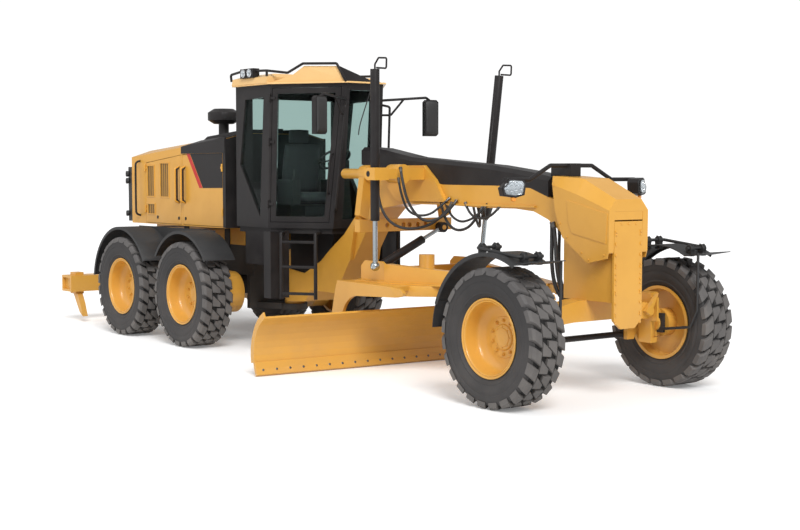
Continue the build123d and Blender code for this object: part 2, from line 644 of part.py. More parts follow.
def saddle():
    """Saddle on the beam: pivot shafts, trunnion claws, legs and the link bar below."""
    tx, ty, tz = TRUNNION
    h, link_y = BEAM_HALF, LINK_PIN_Y
    x0, x1 = LINK_BAR_X
    cheek = [(-2860, 1960), (-2640, 2085), (-2180, 2085), (-2000, 1940), (-1840, 1720), (-2640, 1720)]
    body = prism_y(cheek, h, h + 45)
    body += box((-2330, -2160), (h + 40, HUB_Y), (tz - 60, tz + 60))
    body += box((x0, x1), (h + 40, HUB_Y), (tz - 60, tz + 60))
    body += cyl_x(HUB_Y, tz, SHAFT_R, -3150, -2300)
    body += cyl_x(HUB_Y, tz, 88, x0 - 20, x1 + 20) + cyl_x(HUB_Y, tz, 95, -2340, -2140)
    ca, cb = CLAW_GAP, CLAW_GAP + CLAW_T
    for a, b in ((ty - cb, ty - ca), (ty + ca, ty + cb)):
        body += cyl_y(tx, tz, 62, a, b) + box((tx, tx + 110), (a, b), (tz - 62, tz + 62))
    body += box((tx + 62, tx + 110), (ty - cb, ty + cb), (tz - 62, tz + 62))
    body += box((tx - 60, tx + 100), (HUB_Y + 60, ty - ca - 5), (tz - 50, tz + 50))
    body -= cyl_y(tx, tz, TRUNNION_R + RUN_GAP, ty - cb - 5, ty + cb + 5)
    leg = [(HUB_Y - 60, tz), (HUB_Y + 75, tz), (link_y + 50, LINK_BAR_Z[1] + 45), (link_y - 55, LINK_BAR_Z[1] - 5)]
    body += prism_x(leg, x0, x1)
    body = both(body)
    bar = box(LINK_BAR_X, (-link_y - 50, link_y + 50), LINK_BAR_Z)
    for y in (40, 150, 255):
        bar -= both(cyl_x(y, sum(LINK_BAR_Z) / 2, 26, x0 - 5, x1 + 5))
    body += bar
    x, y, z = CENTRE_EYE
    return body + cyl_x(y, z, CENTRE_PIN_R, x1 - 5, x + 45)


def centre_rod():
    """Centre-shift cylinder rod, hung from the link bar by its eye."""
    x, y, z = CENTRE_EYE
    d = [along(CENTRE_EYE, CENTRE_BALL, t) for t in (45, CENTRE_PISTON - CENTRE_PISTON_T, CENTRE_PISTON)]
    body = rod(d[0], d[2], 20) + rod(d[1], d[2], 33.7)
    body += cyl_x(y, z, 54, x - 40, x + 40)
    return body - cyl_x(y, z, CENTRE_PIN_R + RUN_GAP, x - 50, x + 50)


def centre_barrel():
    """Centre-shift cylinder barrel, with its ball beside the drawbar's cross beam."""
    end = (Vector(*CENTRE_BALL) - Vector(*CENTRE_EYE)).length - CENTRE_BALL_R
    d = [along(CENTRE_EYE, CENTRE_BALL, t) for t in (CENTRE_START, CENTRE_START + 15, end - 8, end + 5)]
    body = rod(d[0], d[3], 44) - rod(d[1], d[2], 34)
    body -= rod(along(CENTRE_EYE, CENTRE_BALL, CENTRE_START - 5), d[1], 20 + RUN_GAP)
    return body + Pos(*CENTRE_BALL) * Sphere(CENTRE_BALL_R)


# ================================================================ cab
def cab_corners(z, inset=0.0):
    """Plan corners of the cab's left side at a height, moved inwards by inset."""
    f = (z - CAB_Z[0]) / (CAB_Z[1] - CAB_Z[0])
    xf = CAB_FRONT_LOW[0] + f * (CAB_FRONT_TOP_X - CAB_FRONT_LOW[0])
    yf = CAB_FRONT_LOW[1] + f * (CAB_FRONT_TOP_HALF - CAB_FRONT_LOW[1])
    k = (CAB_MID_LOW[1] - CAB_FRONT_LOW[1]) / (CAB_FRONT_LOW[0] - CAB_MID_LOW[0])
    # outer door line: y = yf + k * (xf - x); inset line moves in square to it
    y_at_front = yf + k * inset - inset * hypot(1, k)
    y_mid = CAB_HALF - inset
    x_mid = (xf - inset) - (y_mid - y_at_front) / k
    return [(xf - inset, y_at_front), (x_mid, y_mid), (CAB_REAR_X + inset, y_mid)]


def cab_outline(z, inset=0.0):
    left = [(x, y, z) for x, y in cab_corners(z, inset)]
    return left + [(x, -y, h) for x, y, h in reversed(left)]


def door_outline(grow=0.0):
    """Corners of the left cab door on the cab's outer face, grown outwards by grow."""
    pts = []
    for z in (DOOR_LOW - grow, DOOR_HIGH + grow):
        (xf, yf), (xm, ym), _ = cab_corners(z)
        u = Vector(xf - xm, yf - ym, 0).normalized()
        pts.append((Vector(xm, ym, z) + u * (DOOR_EDGE - grow), Vector(xf, yf, z) - u * (DOOR_FRONT_GAP - grow)))
    (r0, f0), (r1, f1) = pts
    return [r0, f0, f1, r1]


def door_normal():
    """Outward normal of the left door."""
    pts = door_outline()
    n = (pts[1] - pts[0]).cross(pts[3] - pts[0]).normalized()
    return n if n.Y > 0 else n * -1


def door_slab(grow, outer, inner):
    """A slab of the door's outline between two depths below the outer face."""
    n = door_normal()
    face = make_face(Polyline(*[tuple(p - n * outer) for p in door_outline(grow)], close=True))
    return extrude(face, amount=inner - outer, dir=tuple(n * -1))


def door_hinge(z0, z1, r, inner=0.0):
    """A knuckle or pin on the left cab door's inclined hinge line."""
    ends = []
    for z in (z0, z1):
        _, (xm, ym), _ = cab_corners(z)
        ends.append(tuple(Vector(xm, ym, z) + door_normal() * HINGE_OUT))
    return rod(ends[0], ends[1], r, inner)


def door_tab(z0, z1, low, high, start, end):
    """A plate beside the hinge line: low and high are heights above the door's face."""
    n = door_normal()
    quads = []
    for z in (z0, z1):
        (xf, yf), (xm, ym), _ = cab_corners(z)
        u = Vector(xf - xm, yf - ym, 0).normalized()
        base = Vector(xm, ym, z)
        quads.append([tuple(base + u * a + n * b) for a, b in ((start, low), (end, low), (end, high), (start, high))])
    return loft2(*quads)


CAB_HINGES = (1620.0, 2300.0, 2780.0)
QUARTER = [(-4699, 2825), (-4310, 2840), (-4400, 1517), (-4819, 2095)]


def cab_shell():
    """Hollow cab of pillars and panels, with its window and door openings."""
    z0, z1 = CAB_Z
    w = CAB_WALL
    body = loft2(cab_outline(z0), cab_outline(z1))
    body -= loft2(cab_outline(z0 + 8, w), cab_outline(z1 - 8, w))
    half = CAB_FRONT_TOP_HALF - 42
    body -= box((-3800, -3300), (-half, half), (1500, 2900))
    body -= prism_y(QUARTER, -900, 900)
    body -= box((-5000, -4800), (-560, 560), (1900, 2850))
    opening = door_slab(DOOR_GAP, -40, 120)
    body -= both(opening)
    for z in CAB_HINGES:
        for a in (z, z + 2 * HINGE_LEN):
            body += both(door_hinge(a, a + HINGE_LEN, HINGE_R) + door_tab(a, a + HINGE_LEN, -4, HINGE_OUT, -4, 12))
        body += both(door_hinge(z, z + 3 * HINGE_LEN, HINGE_PIN_R))
    return body


def cab_door(side):
    """Door frame with its hinge knuckles and handle."""
    frame = door_slab(0.0, 0, DOOR_T) - door_slab(-DOOR_FRAME, -10, DOOR_T + 10)
    for z in CAB_HINGES:
        z0, z1 = z + HINGE_LEN + 0.8, z + 2 * HINGE_LEN - 0.8
        frame += door_tab(z0, z1, 5, HINGE_OUT, 0, DOOR_EDGE + 35)
        frame += door_tab(z0, z1, -2, HINGE_OUT, DOOR_EDGE + 8, DOOR_EDGE + 35)
        frame += door_hinge(z0, z1, HINGE_R)
        frame -= door_hinge(z0 - 5, z1 + 5, HINGE_PIN_R + RUN_GAP)
    n = door_normal()
    _, f0, f1, _ = door_outline(-DOOR_FRAME / 2)
    grip = [tuple(f0 + (f1 - f0) * t + n * o) for t, o in ((0.2, -5), (0.21, 55), (0.5, 55), (0.51, -5))]
    return sided(frame + hoop(grip, 12), side)


def door_glass(side):
    return sided(door_slab(-DOOR_FRAME - SEAT_GAP, 16, 16 + GLASS_T), side)


def cab_glass():
    """Fixed panes: windscreen, two rear side windows and the rear window."""
    g, t = SEAT_GAP, GLASS_T
    half = CAB_FRONT_TOP_HALF - 42 - g
    f0, f1 = cab_corners(1500 + g)[0][0] - 20, cab_corners(2900 - g)[0][0] - 20
    pane = prism_y([(f0, 1500 + g), (f1, 2900 - g), (f1 - t, 2900 - g), (f0 - t, 1500 + g)], -half, half)
    quarter = prism_y(QUARTER, CAB_HALF - 20 - t, CAB_HALF - 20, -g)
    rear = box((CAB_REAR_X + 20, CAB_REAR_X + 20 + t), (-560 + g, 560 - g), (1900 + g, 2850 - g))
    return pane + both(quarter) + rear


ROOF_OUT = 35.0
HUMP_REAR = (-4190.0, -765.0)
HUMP_FRONT = (-3440.0, -246.0)
# share of the way forwards, height over the roof's base
HUMP_NEAR = ((0.0, 10), (0.307, 92), (0.464, 191), (0.904, 181), (1.0, 10))
HUMP_FAR = ((-4190, 10), (-4130, 92), (-4000, 150), (-3690, 62), (-3440, 10))


def cab_roof():
    """Roof shell with the air-conditioner hump over the right-hand door."""
    z = CAB_Z[1]
    low = [(x, y, z) for x, y, _ in cab_outline(z, -ROOF_OUT)]
    high = [(x, y, z + 18) for x, y, _ in cab_outline(z, 8 - ROOF_OUT)]
    body = loft2(low, high)
    steps = []
    for inset, h in ((0, 15), (10, 85), (130, 125)):
        x0, x1, y = CAB_REAR_X - ROOF_OUT + inset, HUMP_REAR[0] - inset * 0.4, CAB_HALF + ROOF_OUT - inset
        steps.append([(x0, -y, z + h), (x1, -y, z + h), (x1, y, z + h), (x0, y, z + h)])
    body += loft2(*steps)
    (xa, ya), (xb, yb) = HUMP_REAR, HUMP_FRONT
    near = [(xa + (xb - xa) * t, ya + (yb - ya) * t, z + h) for t, h in HUMP_NEAR]
    return body + loft2(near, [(x, 200, z + h) for x, h in HUMP_FAR])


ROOF_RAIL = [(-5000, -745, 3040), (-5000, -755, 3119), (-4738, -755, 3147), (-4233, -755, 3128), (-3990, -640, 3095),
             (-3842, -540, 3191), (-3520, -318, 3184), (-3425, -262, 2985)]
MIRROR = (-3234.0, 744.0, 2612.0)


def cab_fittings():
    """Mirrors on their arms, roof rails, work lamp and the grab bars of the pillars."""
    body = hoop(ROOF_RAIL, 14)
    body += hoop([(-5000, 745, 3040), (-5000, 755, 3119), (-4738, 755, 3147), (-4260, 755, 3128), (-4230, 745, 3040)], 14)
    body += box((-4720, -4450), (-800, -715), (3062, 3165))
    body += rod((-4233, -755, 3128), (-4233, -755, 2985), 14)
    x, y, z = MIRROR
    (xa, ya) = cab_corners(2800)[0]
    for s in (1, -1):
        arm = hoop([(xa - 8, s * (ya - 8), 2800), (x, s * (y - 60), 2835), (x, s * y, 2800), (x, s * y, 2500)], 14)
        arm += hoop([(xa - 32, s * (ya - 6), 2640), (xa + 40, s * (ya + 80), 2640), ((xa - 8 + x) / 2, s * (ya - 8 + y - 60) / 2, 2817)], 12)
        head = outline([(-85, -200), (-85, 175), (-60, 200), (60, 200), (85, 175), (85, -175), (60, -200)])
        arm += Pos(x, s * y, z) * Rot(0, 0, -s * 12) * Pos(-25, 0, 0) * extrude(Plane.YZ * head, 60)
        low, high = cab_corners(1600)[0], cab_corners(2750)[0]
        bar = [(low[0] - 8, s * (low[1] - 8), 1600), (low[0] + 70, s * (low[1] + 45), 1620),
               (high[0] + 70, s * (high[1] + 45), 2730), (high[0] - 8, s * (high[1] - 8), 2750)]
        body += arm + hoop(bar, 13)
    return body - cab_roof() - cab_shell()


def cab_interior():
    """Seat on its post, and the steering console."""
    z = CAB_Z[0] + 8
    body = box((-4650, -4350), (-180, 180), (z, 1650))
    body += box((-4740, -4220), (-260, 260), (1650, 1780))
    body += prism_y([(-4740, 1780), (-4620, 1780), (-4700, 2350), (-4790, 2350)], -240, 240)
    body += box((-4790, -4700), (-130, 130), (2349, 2520))
    for y in (-320, 320):
        body += box((-4700, -4300), (y - 60, y + 60), (1640, 1960))
    body += prism_y([(-3950, z), (-3800, z), (-3900, 2150), (-4000, 2150)], -110, 110)
    body += rod((-4010, 0, 2120), (-4040, 0, 2180), 200)
    return body


TANK_X = (-4120.0, -3980.0)
LADDER = ((-3892.0, 800.0), (-3576.0, 565.0))
RUNGS = (700.0, 990.0, 1260.0)


def cab_base():
    """Platform under the cab, side tanks and boarding ladders."""
    z = CAB_Z[0]
    deck = [(-3640, 300), (-4230, 720), (-4880, 720), (-4880, -720), (-4230, -720), (-3640, -300)]
    body = prism_z(deck, z - 60, z)
    seat = [(x, h + SEAT_GAP) for x, h in GOOSE_SIDE[2:6]]
    body += prism_y([(-3760, z - 50)] + seat + [(seat[-1][0], z - 50)], 20 - GOOSE_HALF, GOOSE_HALF - 20)
    for _, s in SIDES:
        body += box((-4760, -4130), sorted((s * 560, s * 720)), (980, z - 60))
        body += box(TANK_X, sorted((s * 640, s * 880)), (640, z - 30))
        rails = []
        for x, y in LADDER:
            rails.append(rod((x, s * y, 640), (x, s * y, z - 40), 20))
            rails.append(rod((x, s * y, z - 45), (x - 190, s * (y - 190), z - 45), 18))
        (xa, ya), (xb, yb) = LADDER
        for h in RUNGS:
            rails.append(rod((xa, s * ya, h), (xb, s * yb, h), 16))
        body += rails
    return body


# ================================================================ front axle
def front_axle():
    """Arched axle beam with its two lean bores."""
    half = [(LEAN_Y, 665), (LEAN_Y, 815), (420, 850), (240, BOLSTER_Z), (0, BOLSTER_Z), (0, 690), (300, 690)]
    body = both(prism_x(half, -95, 95))
    for _, s in SIDES:
        body += cyl_x(s * LEAN_Y, LEAN_Z, 75, -100, 100)
        body -= cyl_x(s * LEAN_Y, LEAN_Z, LEAN_PIN_R + RUN_GAP, -110, 110)
    return body


def yoke(side):
    """Fork that leans on the axle and carries the kingpin."""
    (z0, z1), y0 = KING_Z, LEAN_Y + 76
    body = cyl_x(LEAN_Y, LEAN_Z, LEAN_PIN_R, -150, 150)
    cheek = [(LEAN_Y - 45, LEAN_BAR_Z - 45), (LEAN_Y + 45, LEAN_BAR_Z - 45), (y0 + 24, 560), (y0 + 24, 900),
             (LEAN_Y + 20, 820), (LEAN_Y - 70, LEAN_Z), (LEAN_Y - 45, 600)]
    body += prism_x(cheek, -150, -106)
    body += prism_x([(y, z) for y, z in cheek if z > 650] + [(LEAN_Y - 30, 650), (y0 + 24, 650)][::-1], 106, 150)
    body += box((-150, 150), (y0, y0 + 24), (640, 860))
    body += box((-75, 75), (y0, y0 + 24), (z0, z1))
    for a, b in ((z0, z0 + KING_BOSS), (z1 - KING_BOSS, z1)):
        body += box((-70, 70), (y0 + 20, KING_Y), (a, b)) + cyl_z(0, KING_Y, 70, a, b)
    body += cyl_z(0, KING_Y, KING_PIN_R, z0, z1)
    body += cyl_x(LEAN_Y, LEAN_BAR_Z, 25, LEAN_BAR_X - 35, -110)
    return sided(body, side)


def knuckle(side):
    """Steering knuckle with its wheel spindle."""
    z0, z1 = KING_Z[0] + KING_BOSS + SEAT_GAP, KING_Z[1] - KING_BOSS - SEAT_GAP
    body = cyl_z(0, KING_Y, 46, z0, z1)
    body += cyl_y(0, AXLE_Z, 75, KING_Y + 38, 905)
    body += cyl_y(0, AXLE_Z, HUB_R, 905, HUB_FACE)
    body += prism_x([(KING_Y + 10, 760), (KING_Y + 48, 800), (905, 720), (905, 500), (KING_Y + 48, 480), (KING_Y + 10, 500)],
                    -28, 28)
    body -= cyl_z(0, KING_Y, KING_PIN_R + RUN_GAP, z0 - 5, z1 + 5)
    return sided(body, side)


FENDER_POST_Y = 863.0


def front_fender(side):
    """Mudguard with its clamped tube and the bent support post."""
    body = arch(0, ARCH_R, ARCH_Y[0], ARCH_Y[1], 62, 160)
    top = AXLE_Z + ARCH_R
    a = radians(62)
    xe, ze = ARCH_R * cos(a), AXLE_Z + ARCH_R * sin(a)
    tip = [(xe - 30, ze + 12), (xe, ze), (560, 1290), (556, 1282), (xe, ze - 9), (xe - 6, ze - 6)]
    body += prism_y(tip, *ARCH_Y)
    body += hoop([(330, 905, ze + 60), (330, 1180, ze + 60), (-200, 1180, top + 30), (-200, 905, top + 30)], 15)
    for x, z in ((330, ze), (-200, top - 45)):
        for y in (960, 1120):
            body += box((x - 30, x + 30), (y - 22, y + 22), (z - 12, z + 80))
    y = FENDER_POST_Y
    body += hoop([(505, y, 1280), (500, y, 760), (420, y, 600), (130, y, 560), (50, y, 560)], 13)
    foot = box((28, 98), (y - 13, y + 24), (520, 700))
    return sided(body + foot - cyl_y(0, AXLE_Z, 75, 840, 905), side)


def lean_bar():
    """Bar that keeps the two forks parallel."""
    x, y, z = LEAN_BAR_X, LEAN_Y, LEAN_BAR_Z
    body = rod((x, -y, z), (x, y, z), 28)
    for s in (1, -1):
        body += cyl_x(s * y, z, 46, x - 30, x + 30)
    for s in (1, -1):
        body -= cyl_x(s * y, z, 25 + RUN_GAP, x - 40, x + 40)
    return body


# ================================================================ blade group
def drawbar():
    """A-frame of two deep legs from the front ball to the end plates, over its bottom plate."""
    z0, z1 = DRAWBAR_Z
    bx, _, bz = BALL
    (ea, eb), (ya, yb), top = END_X, END_Y, END_TOP
    front = bx - 180
    body = None
    for _, s in SIDES:
        leg = prism_z([(front, 0), (front, s * 75), (eb, s * yb), (eb, s * (yb - 92)), (front - 260, s * 66),
                       (front - 260, 0)], z0, top)
        leg += box((ea, eb + 1), sorted((s * ya, s * yb)), (z0, top))
        body = leg if body is None else body + leg
    profile = [(ea, z0), (ea, top - 55), (ea + 65, top), (eb - 45, top), (eb, top - 22), (front, z1), (front, z0)]
    body = body & prism_y(profile, -yb - 1, yb + 1)
    body += box(YOKE_X, (-ya - 1, ya + 1), (z0, YOKE_TOP))
    body += box((-1480, -1380), (-330, 330), (z0, z1 + 30))
    flange = [(ea, -yb - 75), (eb, -yb - 75), (front, -90), (front, 90), (eb, yb + 75), (ea, yb + 75)]
    window = [(ea - 1, -ya), (YOKE_X[0], -ya), (YOKE_X[0], ya), (ea - 1, ya)]      # the centre-shift cylinder's way
    body += prism_z(flange, z0, z0 + 14) - prism_z(window, z0 - 1, z0 + 15)
    body += box((front - 20, bx - 90), (-60, 60), (z0, z1 - 10)) + rod(BALL, (bx - 130, 0, bz), 45)
    body += Pos(*BALL) * Rot(0, 90, 0) * Sphere(BALL_R)
    body += cyl_y(bx, bz, BALL_PIN_R, -BALL_R - 14, BALL_R + 14)
    body += cyl_z(-2200, -130, 80, z0, 1180) + cyl_z(-2200, -130, 110, z0, z0 + 70)
    _, y, z = CENTRE_BALL
    return body + cyl_x(y, z, 30, CENTRE_BALL[0] + CENTRE_BALL_R + BALL_GAP, YOKE_X[0] + 5)


def place_blade(shape):
    """From the blade group's own frame, square to the circle, to the machine."""
    return Pos(CIRCLE_X, 0, 0) * Rot(0, 0, -BLADE_YAW) * shape


def circle():
    """Toothed turning ring with the two arms that carry the blade."""
    (z0, z1), (ya, yb) = CIRCLE_Z, ARM_Y
    body = cyl_z(0, 0, CIRCLE_R, z0, z1) - cyl_z(0, 0, CIRCLE_IN_R, z0 - 5, z1 + 5)
    teeth = []
    for i in range(CIRCLE_TEETH):
        tooth = prism_z([(-8, -28), (30, -18), (30, 18), (-8, 28)], z0, z1 - 20)
        teeth.append(Rot(0, 0, i * 360 / CIRCLE_TEETH) * Pos(-CIRCLE_IN_R + 2, 0, 0) * tooth)
    body += teeth
    px, pz = TIP_PIVOT
    edge = Polyline((-120, 771), (583, 807), (690, 825), (728, 858), (655, 895), (480, z1), (-520, z1), (-572, 779),
                    (-640, 520), (-738, 400), (-735, 300), (px - 68, pz), (px + 60, pz), (px + 60, 250),
                    (px, 290), (px, 380), (px + 55, 465), (-430, 540))
    side = make_face(edge + ThreePointArc((-430, 540), (-318, 706), (-120, 771)))
    arm = Pos(0, ya, 0) * extrude(Plane.XZ * side, ya - yb)
    arm += cyl_y(px, pz, 68, ya, yb)
    arm += prism_z([(-500, ya + 5), (600, ya + 5), (480, 560), (-480, 560)], z1 - 43, z1)
    body += both(arm - cyl_z(0, 0, CIRCLE_IN_R + 40, z1 - 60, z1 + 5))
    body -= cyl_y(px, pz, TIP_PIN_R + RUN_GAP, -yb - 10, yb + 10)
    return place_blade(body)


def blade_section(grow, first=0, last=BLADE_STEPS):
    """Section curve of the mouldboard, offset backwards by grow, top to bottom."""
    half = asin(BLADE_H / 2 / BLADE_ARC_R)
    tilt = radians(BLADE_PITCH)
    pts = []
    for i in range(first, last + 1):
        a = half - 2 * half * i / BLADE_STEPS
        r = BLADE_ARC_R + grow
        u = BLADE_ARC_R * cos(half) - r * cos(a)
        v = BLADE_H / 2 + r * sin(a)
        pts.append((BLADE_EDGE_LX + u * cos(tilt) + v * sin(tilt), v * cos(tilt) - u * sin(tilt)))
    return pts


def mouldboard():
    """Curved blade with its cutting edge, end bits and the two slide rails behind."""
    front, back = blade_section(0.0), blade_section(BLADE_T)
    edge = blade_section(-EDGE_T, BLADE_STEPS - EDGE_STEPS)
    h = BLADE_LEN / 2
    lift = -min(z for _, z in front + back + edge)
    body = prism_y([(x, z + lift) for x, z in front + back[::-1]], -h, h)
    strip = edge + blade_section(1.0, BLADE_STEPS - EDGE_STEPS)[::-1]
    body += prism_y([(x, z + lift) for x, z in strip], -h, h)
    for x, z in RAILS:
        body += box((x - 26, x + 80), (-h + 150, h - 150), (z - RAIL_HALF, z + RAIL_HALF))
    for y in (-h, h - 18):
        rib = front[:-2] + blade_section(BLADE_T + 45)[:-2][::-1]
        body += prism_y([(x, z + lift) for x, z in rib], y, y + 18)
    return place_blade(body)


def blade_bracket():
    """Tipping frame: two plates bearing on the slide rails, and the cross shaft."""
    px, pz = TIP_PIVOT
    (ux, uz), (lx, lz) = RAILS
    ub, lb = ux - 26 - SEAT_GAP, lx - 26 - SEAT_GAP
    side = [(px - 70, pz - 70), (lb, pz - 70), (lb, lz + 25), (lb - 20, lz + 90), (ub, uz - 30), (ub, uz + 30),
            (ub - 60, uz + 40), (px - 70, pz + 60)]
    body = cyl_y(px, pz, TIP_PIN_R, -ARM_Y[1], ARM_Y[1])
    for y in (-500, 500):
        body += prism_y(side, y - 25, y + 25)
    body += cyl_y(px + 60, pz + 120, 26, -500, 500)
    return place_blade(body)


def lift_barrel(side):
    """Lift cylinder barrel on its trunnion pins, with the pipe at its head."""
    x, y, z = TRUNNION
    p = {d: along(ROD_BALL, TRUNNION, d) for d in (LIFT_START, LIFT_START + 30, LIFT_END - 20, LIFT_END)}
    body = rod(p[LIFT_START], p[LIFT_END], LIFT_R)
    body -= rod(p[LIFT_START + 30], p[LIFT_END - 20], LIFT_BORE)
    body -= rod(along(ROD_BALL, TRUNNION, LIFT_START - 5), p[LIFT_START + 30], LIFT_ROD_R + RUN_GAP)
    body += cyl_y(x, z, TRUNNION_R, y - CLAW_GAP - CLAW_T, y - LIFT_BORE - 4)
    body += cyl_y(x, z, TRUNNION_R, y + LIFT_BORE + 4, y + CLAW_GAP + CLAW_T)
    tx, ty, tz = p[LIFT_END]
    pipe = [(tx, ty, tz - 5), (tx, ty, tz + 45), (tx + 60, ty, tz + 105), (tx + 190, ty, tz + 95), (tx + 185, ty, tz - 5),
            (tx + 30, ty, tz + 10)]
    return sided(body + hoop(pipe, 9), side)


def lift_rod(side):
    """Lift cylinder rod with its piston and ball socket."""
    body = rod(along(ROD_BALL, TRUNNION, 30), along(ROD_BALL, TRUNNION, LIFT_PISTON), LIFT_ROD_R)
    body += rod(along(ROD_BALL, TRUNNION, LIFT_PISTON - 50), along(ROD_BALL, TRUNNION, LIFT_PISTON), LIFT_BORE - 0.3)
    return sided(body + Pos(*ROD_BALL) * Sphere(ROD_BALL_R), side)


def build():
    parts = {}
    tread = tyre_shape()
    for axle, x in (("front", 0.0), ("mid", TANDEM_X[0]), ("rear", TANDEM_X[1])):
        for name, s in SIDES:
            parts[f"tyre_{axle}_{name}"] = tyre(x, s, tread)
            parts[f"rim_{axle}_{name}"] = rim(x, s)
    parts["rear_frame"] = rear_frame()
    parts["engine"] = engine()
    parts["hood_shell"] = hood_shell()
    parts["hood_cover"] = hood_cover() + rear_grille()
    parts["front_frame"] = front_frame()
    parts["nose_cover"] = nose_cover()
    parts["frame_cover"] = frame_cover() + lamp_bar()
    parts["saddle"] = saddle()
    parts["cab_shell"] = cab_shell()
    parts["cab_roof"] = cab_roof()
    parts["cab_glass"] = cab_glass()
    parts["cab_interior"] = cab_interior()
    parts["cab_base"] = cab_base()
    parts["cab_fittings"] = cab_fittings()
    parts["front_axle"] = front_axle()
    parts["drawbar"] = drawbar()
    parts["circle"] = circle()
    parts["blade_bracket"] = blade_bracket()
    parts["mouldboard"] = mouldboard()
    parts["ripper_beam"] = ripper_beam()
    parts["ripper_lower_links"] = lower_links()
    parts["ripper_upper_links"] = upper_links()
    parts["lean_bar"] = lean_bar()
    parts["centre_barrel"] = centre_barrel()
    parts["centre_rod"] = centre_rod()
    for name, s in SIDES:
        parts[f"tandem_case_{name}"] = tandem_case(s)
        parts[f"rear_fenders_{name}"] = rear_fenders(s)
        parts[f"cab_door_{name}"] = cab_door(s)
        parts[f"door_glass_{name}"] = door_glass(s)
        parts[f"yoke_{name}"] = yoke(s)
        parts[f"knuckle_{name}"] = knuckle(s)
        parts[f"front_fender_{name}"] = front_fender(s)
        parts[f"lift_barrel_{name}"] = lift_barrel(s)
        parts[f"lift_rod_{name}"] = lift_rod(s)
        for which in HOOD_DOORS:
            parts[f"hood_door_{which}_{name}"] = hood_door(which, s)
    return parts


SHIFT_X = 4157.0

os.makedirs("parts", exist_ok=True)
for node, shape in build().items():
    export_step(Pos(SHIFT_X, 0, 0) * shape, f"parts/{node}.step")
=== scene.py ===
import logging
from dataclasses import dataclass
from enum import Enum
from math import asin, cos, exp, pi, radians, sin, tan

import bmesh
import bpy
from mathutils import Matrix, Vector


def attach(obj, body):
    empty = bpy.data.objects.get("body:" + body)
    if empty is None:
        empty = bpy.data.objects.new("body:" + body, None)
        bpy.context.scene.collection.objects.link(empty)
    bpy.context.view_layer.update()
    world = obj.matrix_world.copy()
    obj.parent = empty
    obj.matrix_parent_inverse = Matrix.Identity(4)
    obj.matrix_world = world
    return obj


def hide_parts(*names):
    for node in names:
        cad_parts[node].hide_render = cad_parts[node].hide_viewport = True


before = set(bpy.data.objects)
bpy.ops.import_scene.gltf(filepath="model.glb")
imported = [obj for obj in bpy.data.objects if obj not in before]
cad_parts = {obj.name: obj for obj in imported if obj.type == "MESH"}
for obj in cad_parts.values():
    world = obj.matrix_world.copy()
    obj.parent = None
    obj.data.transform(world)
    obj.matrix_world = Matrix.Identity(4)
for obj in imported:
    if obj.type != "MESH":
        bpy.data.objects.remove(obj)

LOG = logging.getLogger("grader")
SHIFT_X = 4157.0            # station millimetres to the row frame
TANDEM_X = -6123.0          # station of the tandem's pivot
TANDEM_HALF = 761.5         # from the pivot to each of its axles
SIDES = (("left", 1), ("right", -1))
COAT_ROUGHNESS = 0.12
MOTTLE_SCALE = 2.6
BUMP_STRENGTH = 0.6
DUST_TOP = 1.1              # metres above the object's origin where dust ends
DUST_SHARE = 0.55           # most that the dust covers
SMEAR = 0.04                # what smears add to a pane's roughness
Point = tuple[float, float, float]
Colour = tuple[float, float, float]
Pair = tuple[float, float]


def place(p: Point) -> Vector:
    """Turns station millimetres into row-frame metres.

    Args:
        p: a point, X from the front axle, Y to the left, Z from the ground.

    Returns:
        The same point in the row frame.
    """
    return Vector(((p[0] + SHIFT_X) / 1000, p[1] / 1000, p[2] / 1000))


# ---- finishes
def ranged(tree: bpy.types.NodeTree, source: bpy.types.NodeSocket, to: Pair,
           start: Pair = (0.0, 1.0)) -> bpy.types.NodeSocket:
    """Maps a value from one range to another.

    Args:
        tree: the node tree that the node is made in.
        source: the value.
        to: what the two ends of the range turn into.
        start: the two ends of the range.

    Returns:
        The mapped value.
    """
    node = tree.nodes.new("ShaderNodeMapRange")
    for label, value in zip(("From Min", "From Max", "To Min", "To Max"), (*start, *to)):
        node.inputs[label].default_value = value
    tree.links.new(source, node.inputs["Value"])
    return node.outputs["Result"]


def noise(tree: bpy.types.NodeTree, vector: bpy.types.NodeSocket, scale: float, detail: float,
          rough: float = 0.5) -> bpy.types.NodeSocket:
    """Makes a noise.

    Args:
        tree: the node tree that the node is made in.
        vector: where the noise is read.
        scale: its scale.
        detail: its detail.
        rough: its roughness.

    Returns:
        The noise's value.
    """
    node = tree.nodes.new("ShaderNodeTexNoise")
    for label, value in (("Scale", scale), ("Detail", detail), ("Roughness", rough)):
        node.inputs[label].default_value = value
    tree.links.new(vector, node.inputs["Vector"])
    return node.outputs["Fac"]


def mixed(tree: bpy.types.NodeTree, share: bpy.types.NodeSocket, second: Colour) -> bpy.types.Node:
    """Makes a colour mix towards a second colour by a share, with its first colour still to be set."""
    node = tree.nodes.new("ShaderNodeMix")
    node.data_type = "RGBA"
    node.inputs["B"].default_value = (*second, 1)
    tree.links.new(share, node.inputs["Factor"])
    return node


class Finish(Enum):
    """The named finishes of the machine."""

    YELLOW = "yellow"
    DARK = "dark"
    CAST = "cast"
    CHROME = "chrome"
    RUBBER = "rubber"
    HOSE = "hose"
    TRIM = "trim"
    FABRIC = "fabric"
    GLASS = "glass"
    LENS = "lens"
    REFLECTOR = "reflector"
    AMBER = "amber"
    RED = "red"
    STEEL = "steel"
    MIRROR = "mirror"
    ROOF_PAINTED_HIGHLIGHT = "roof"
    TREAD = "tread"
    GROOVE_PAINTED_SHADE = "groove_painted_shade"
    SCREEN_WITH_PAINTED_SHADE = "screen"


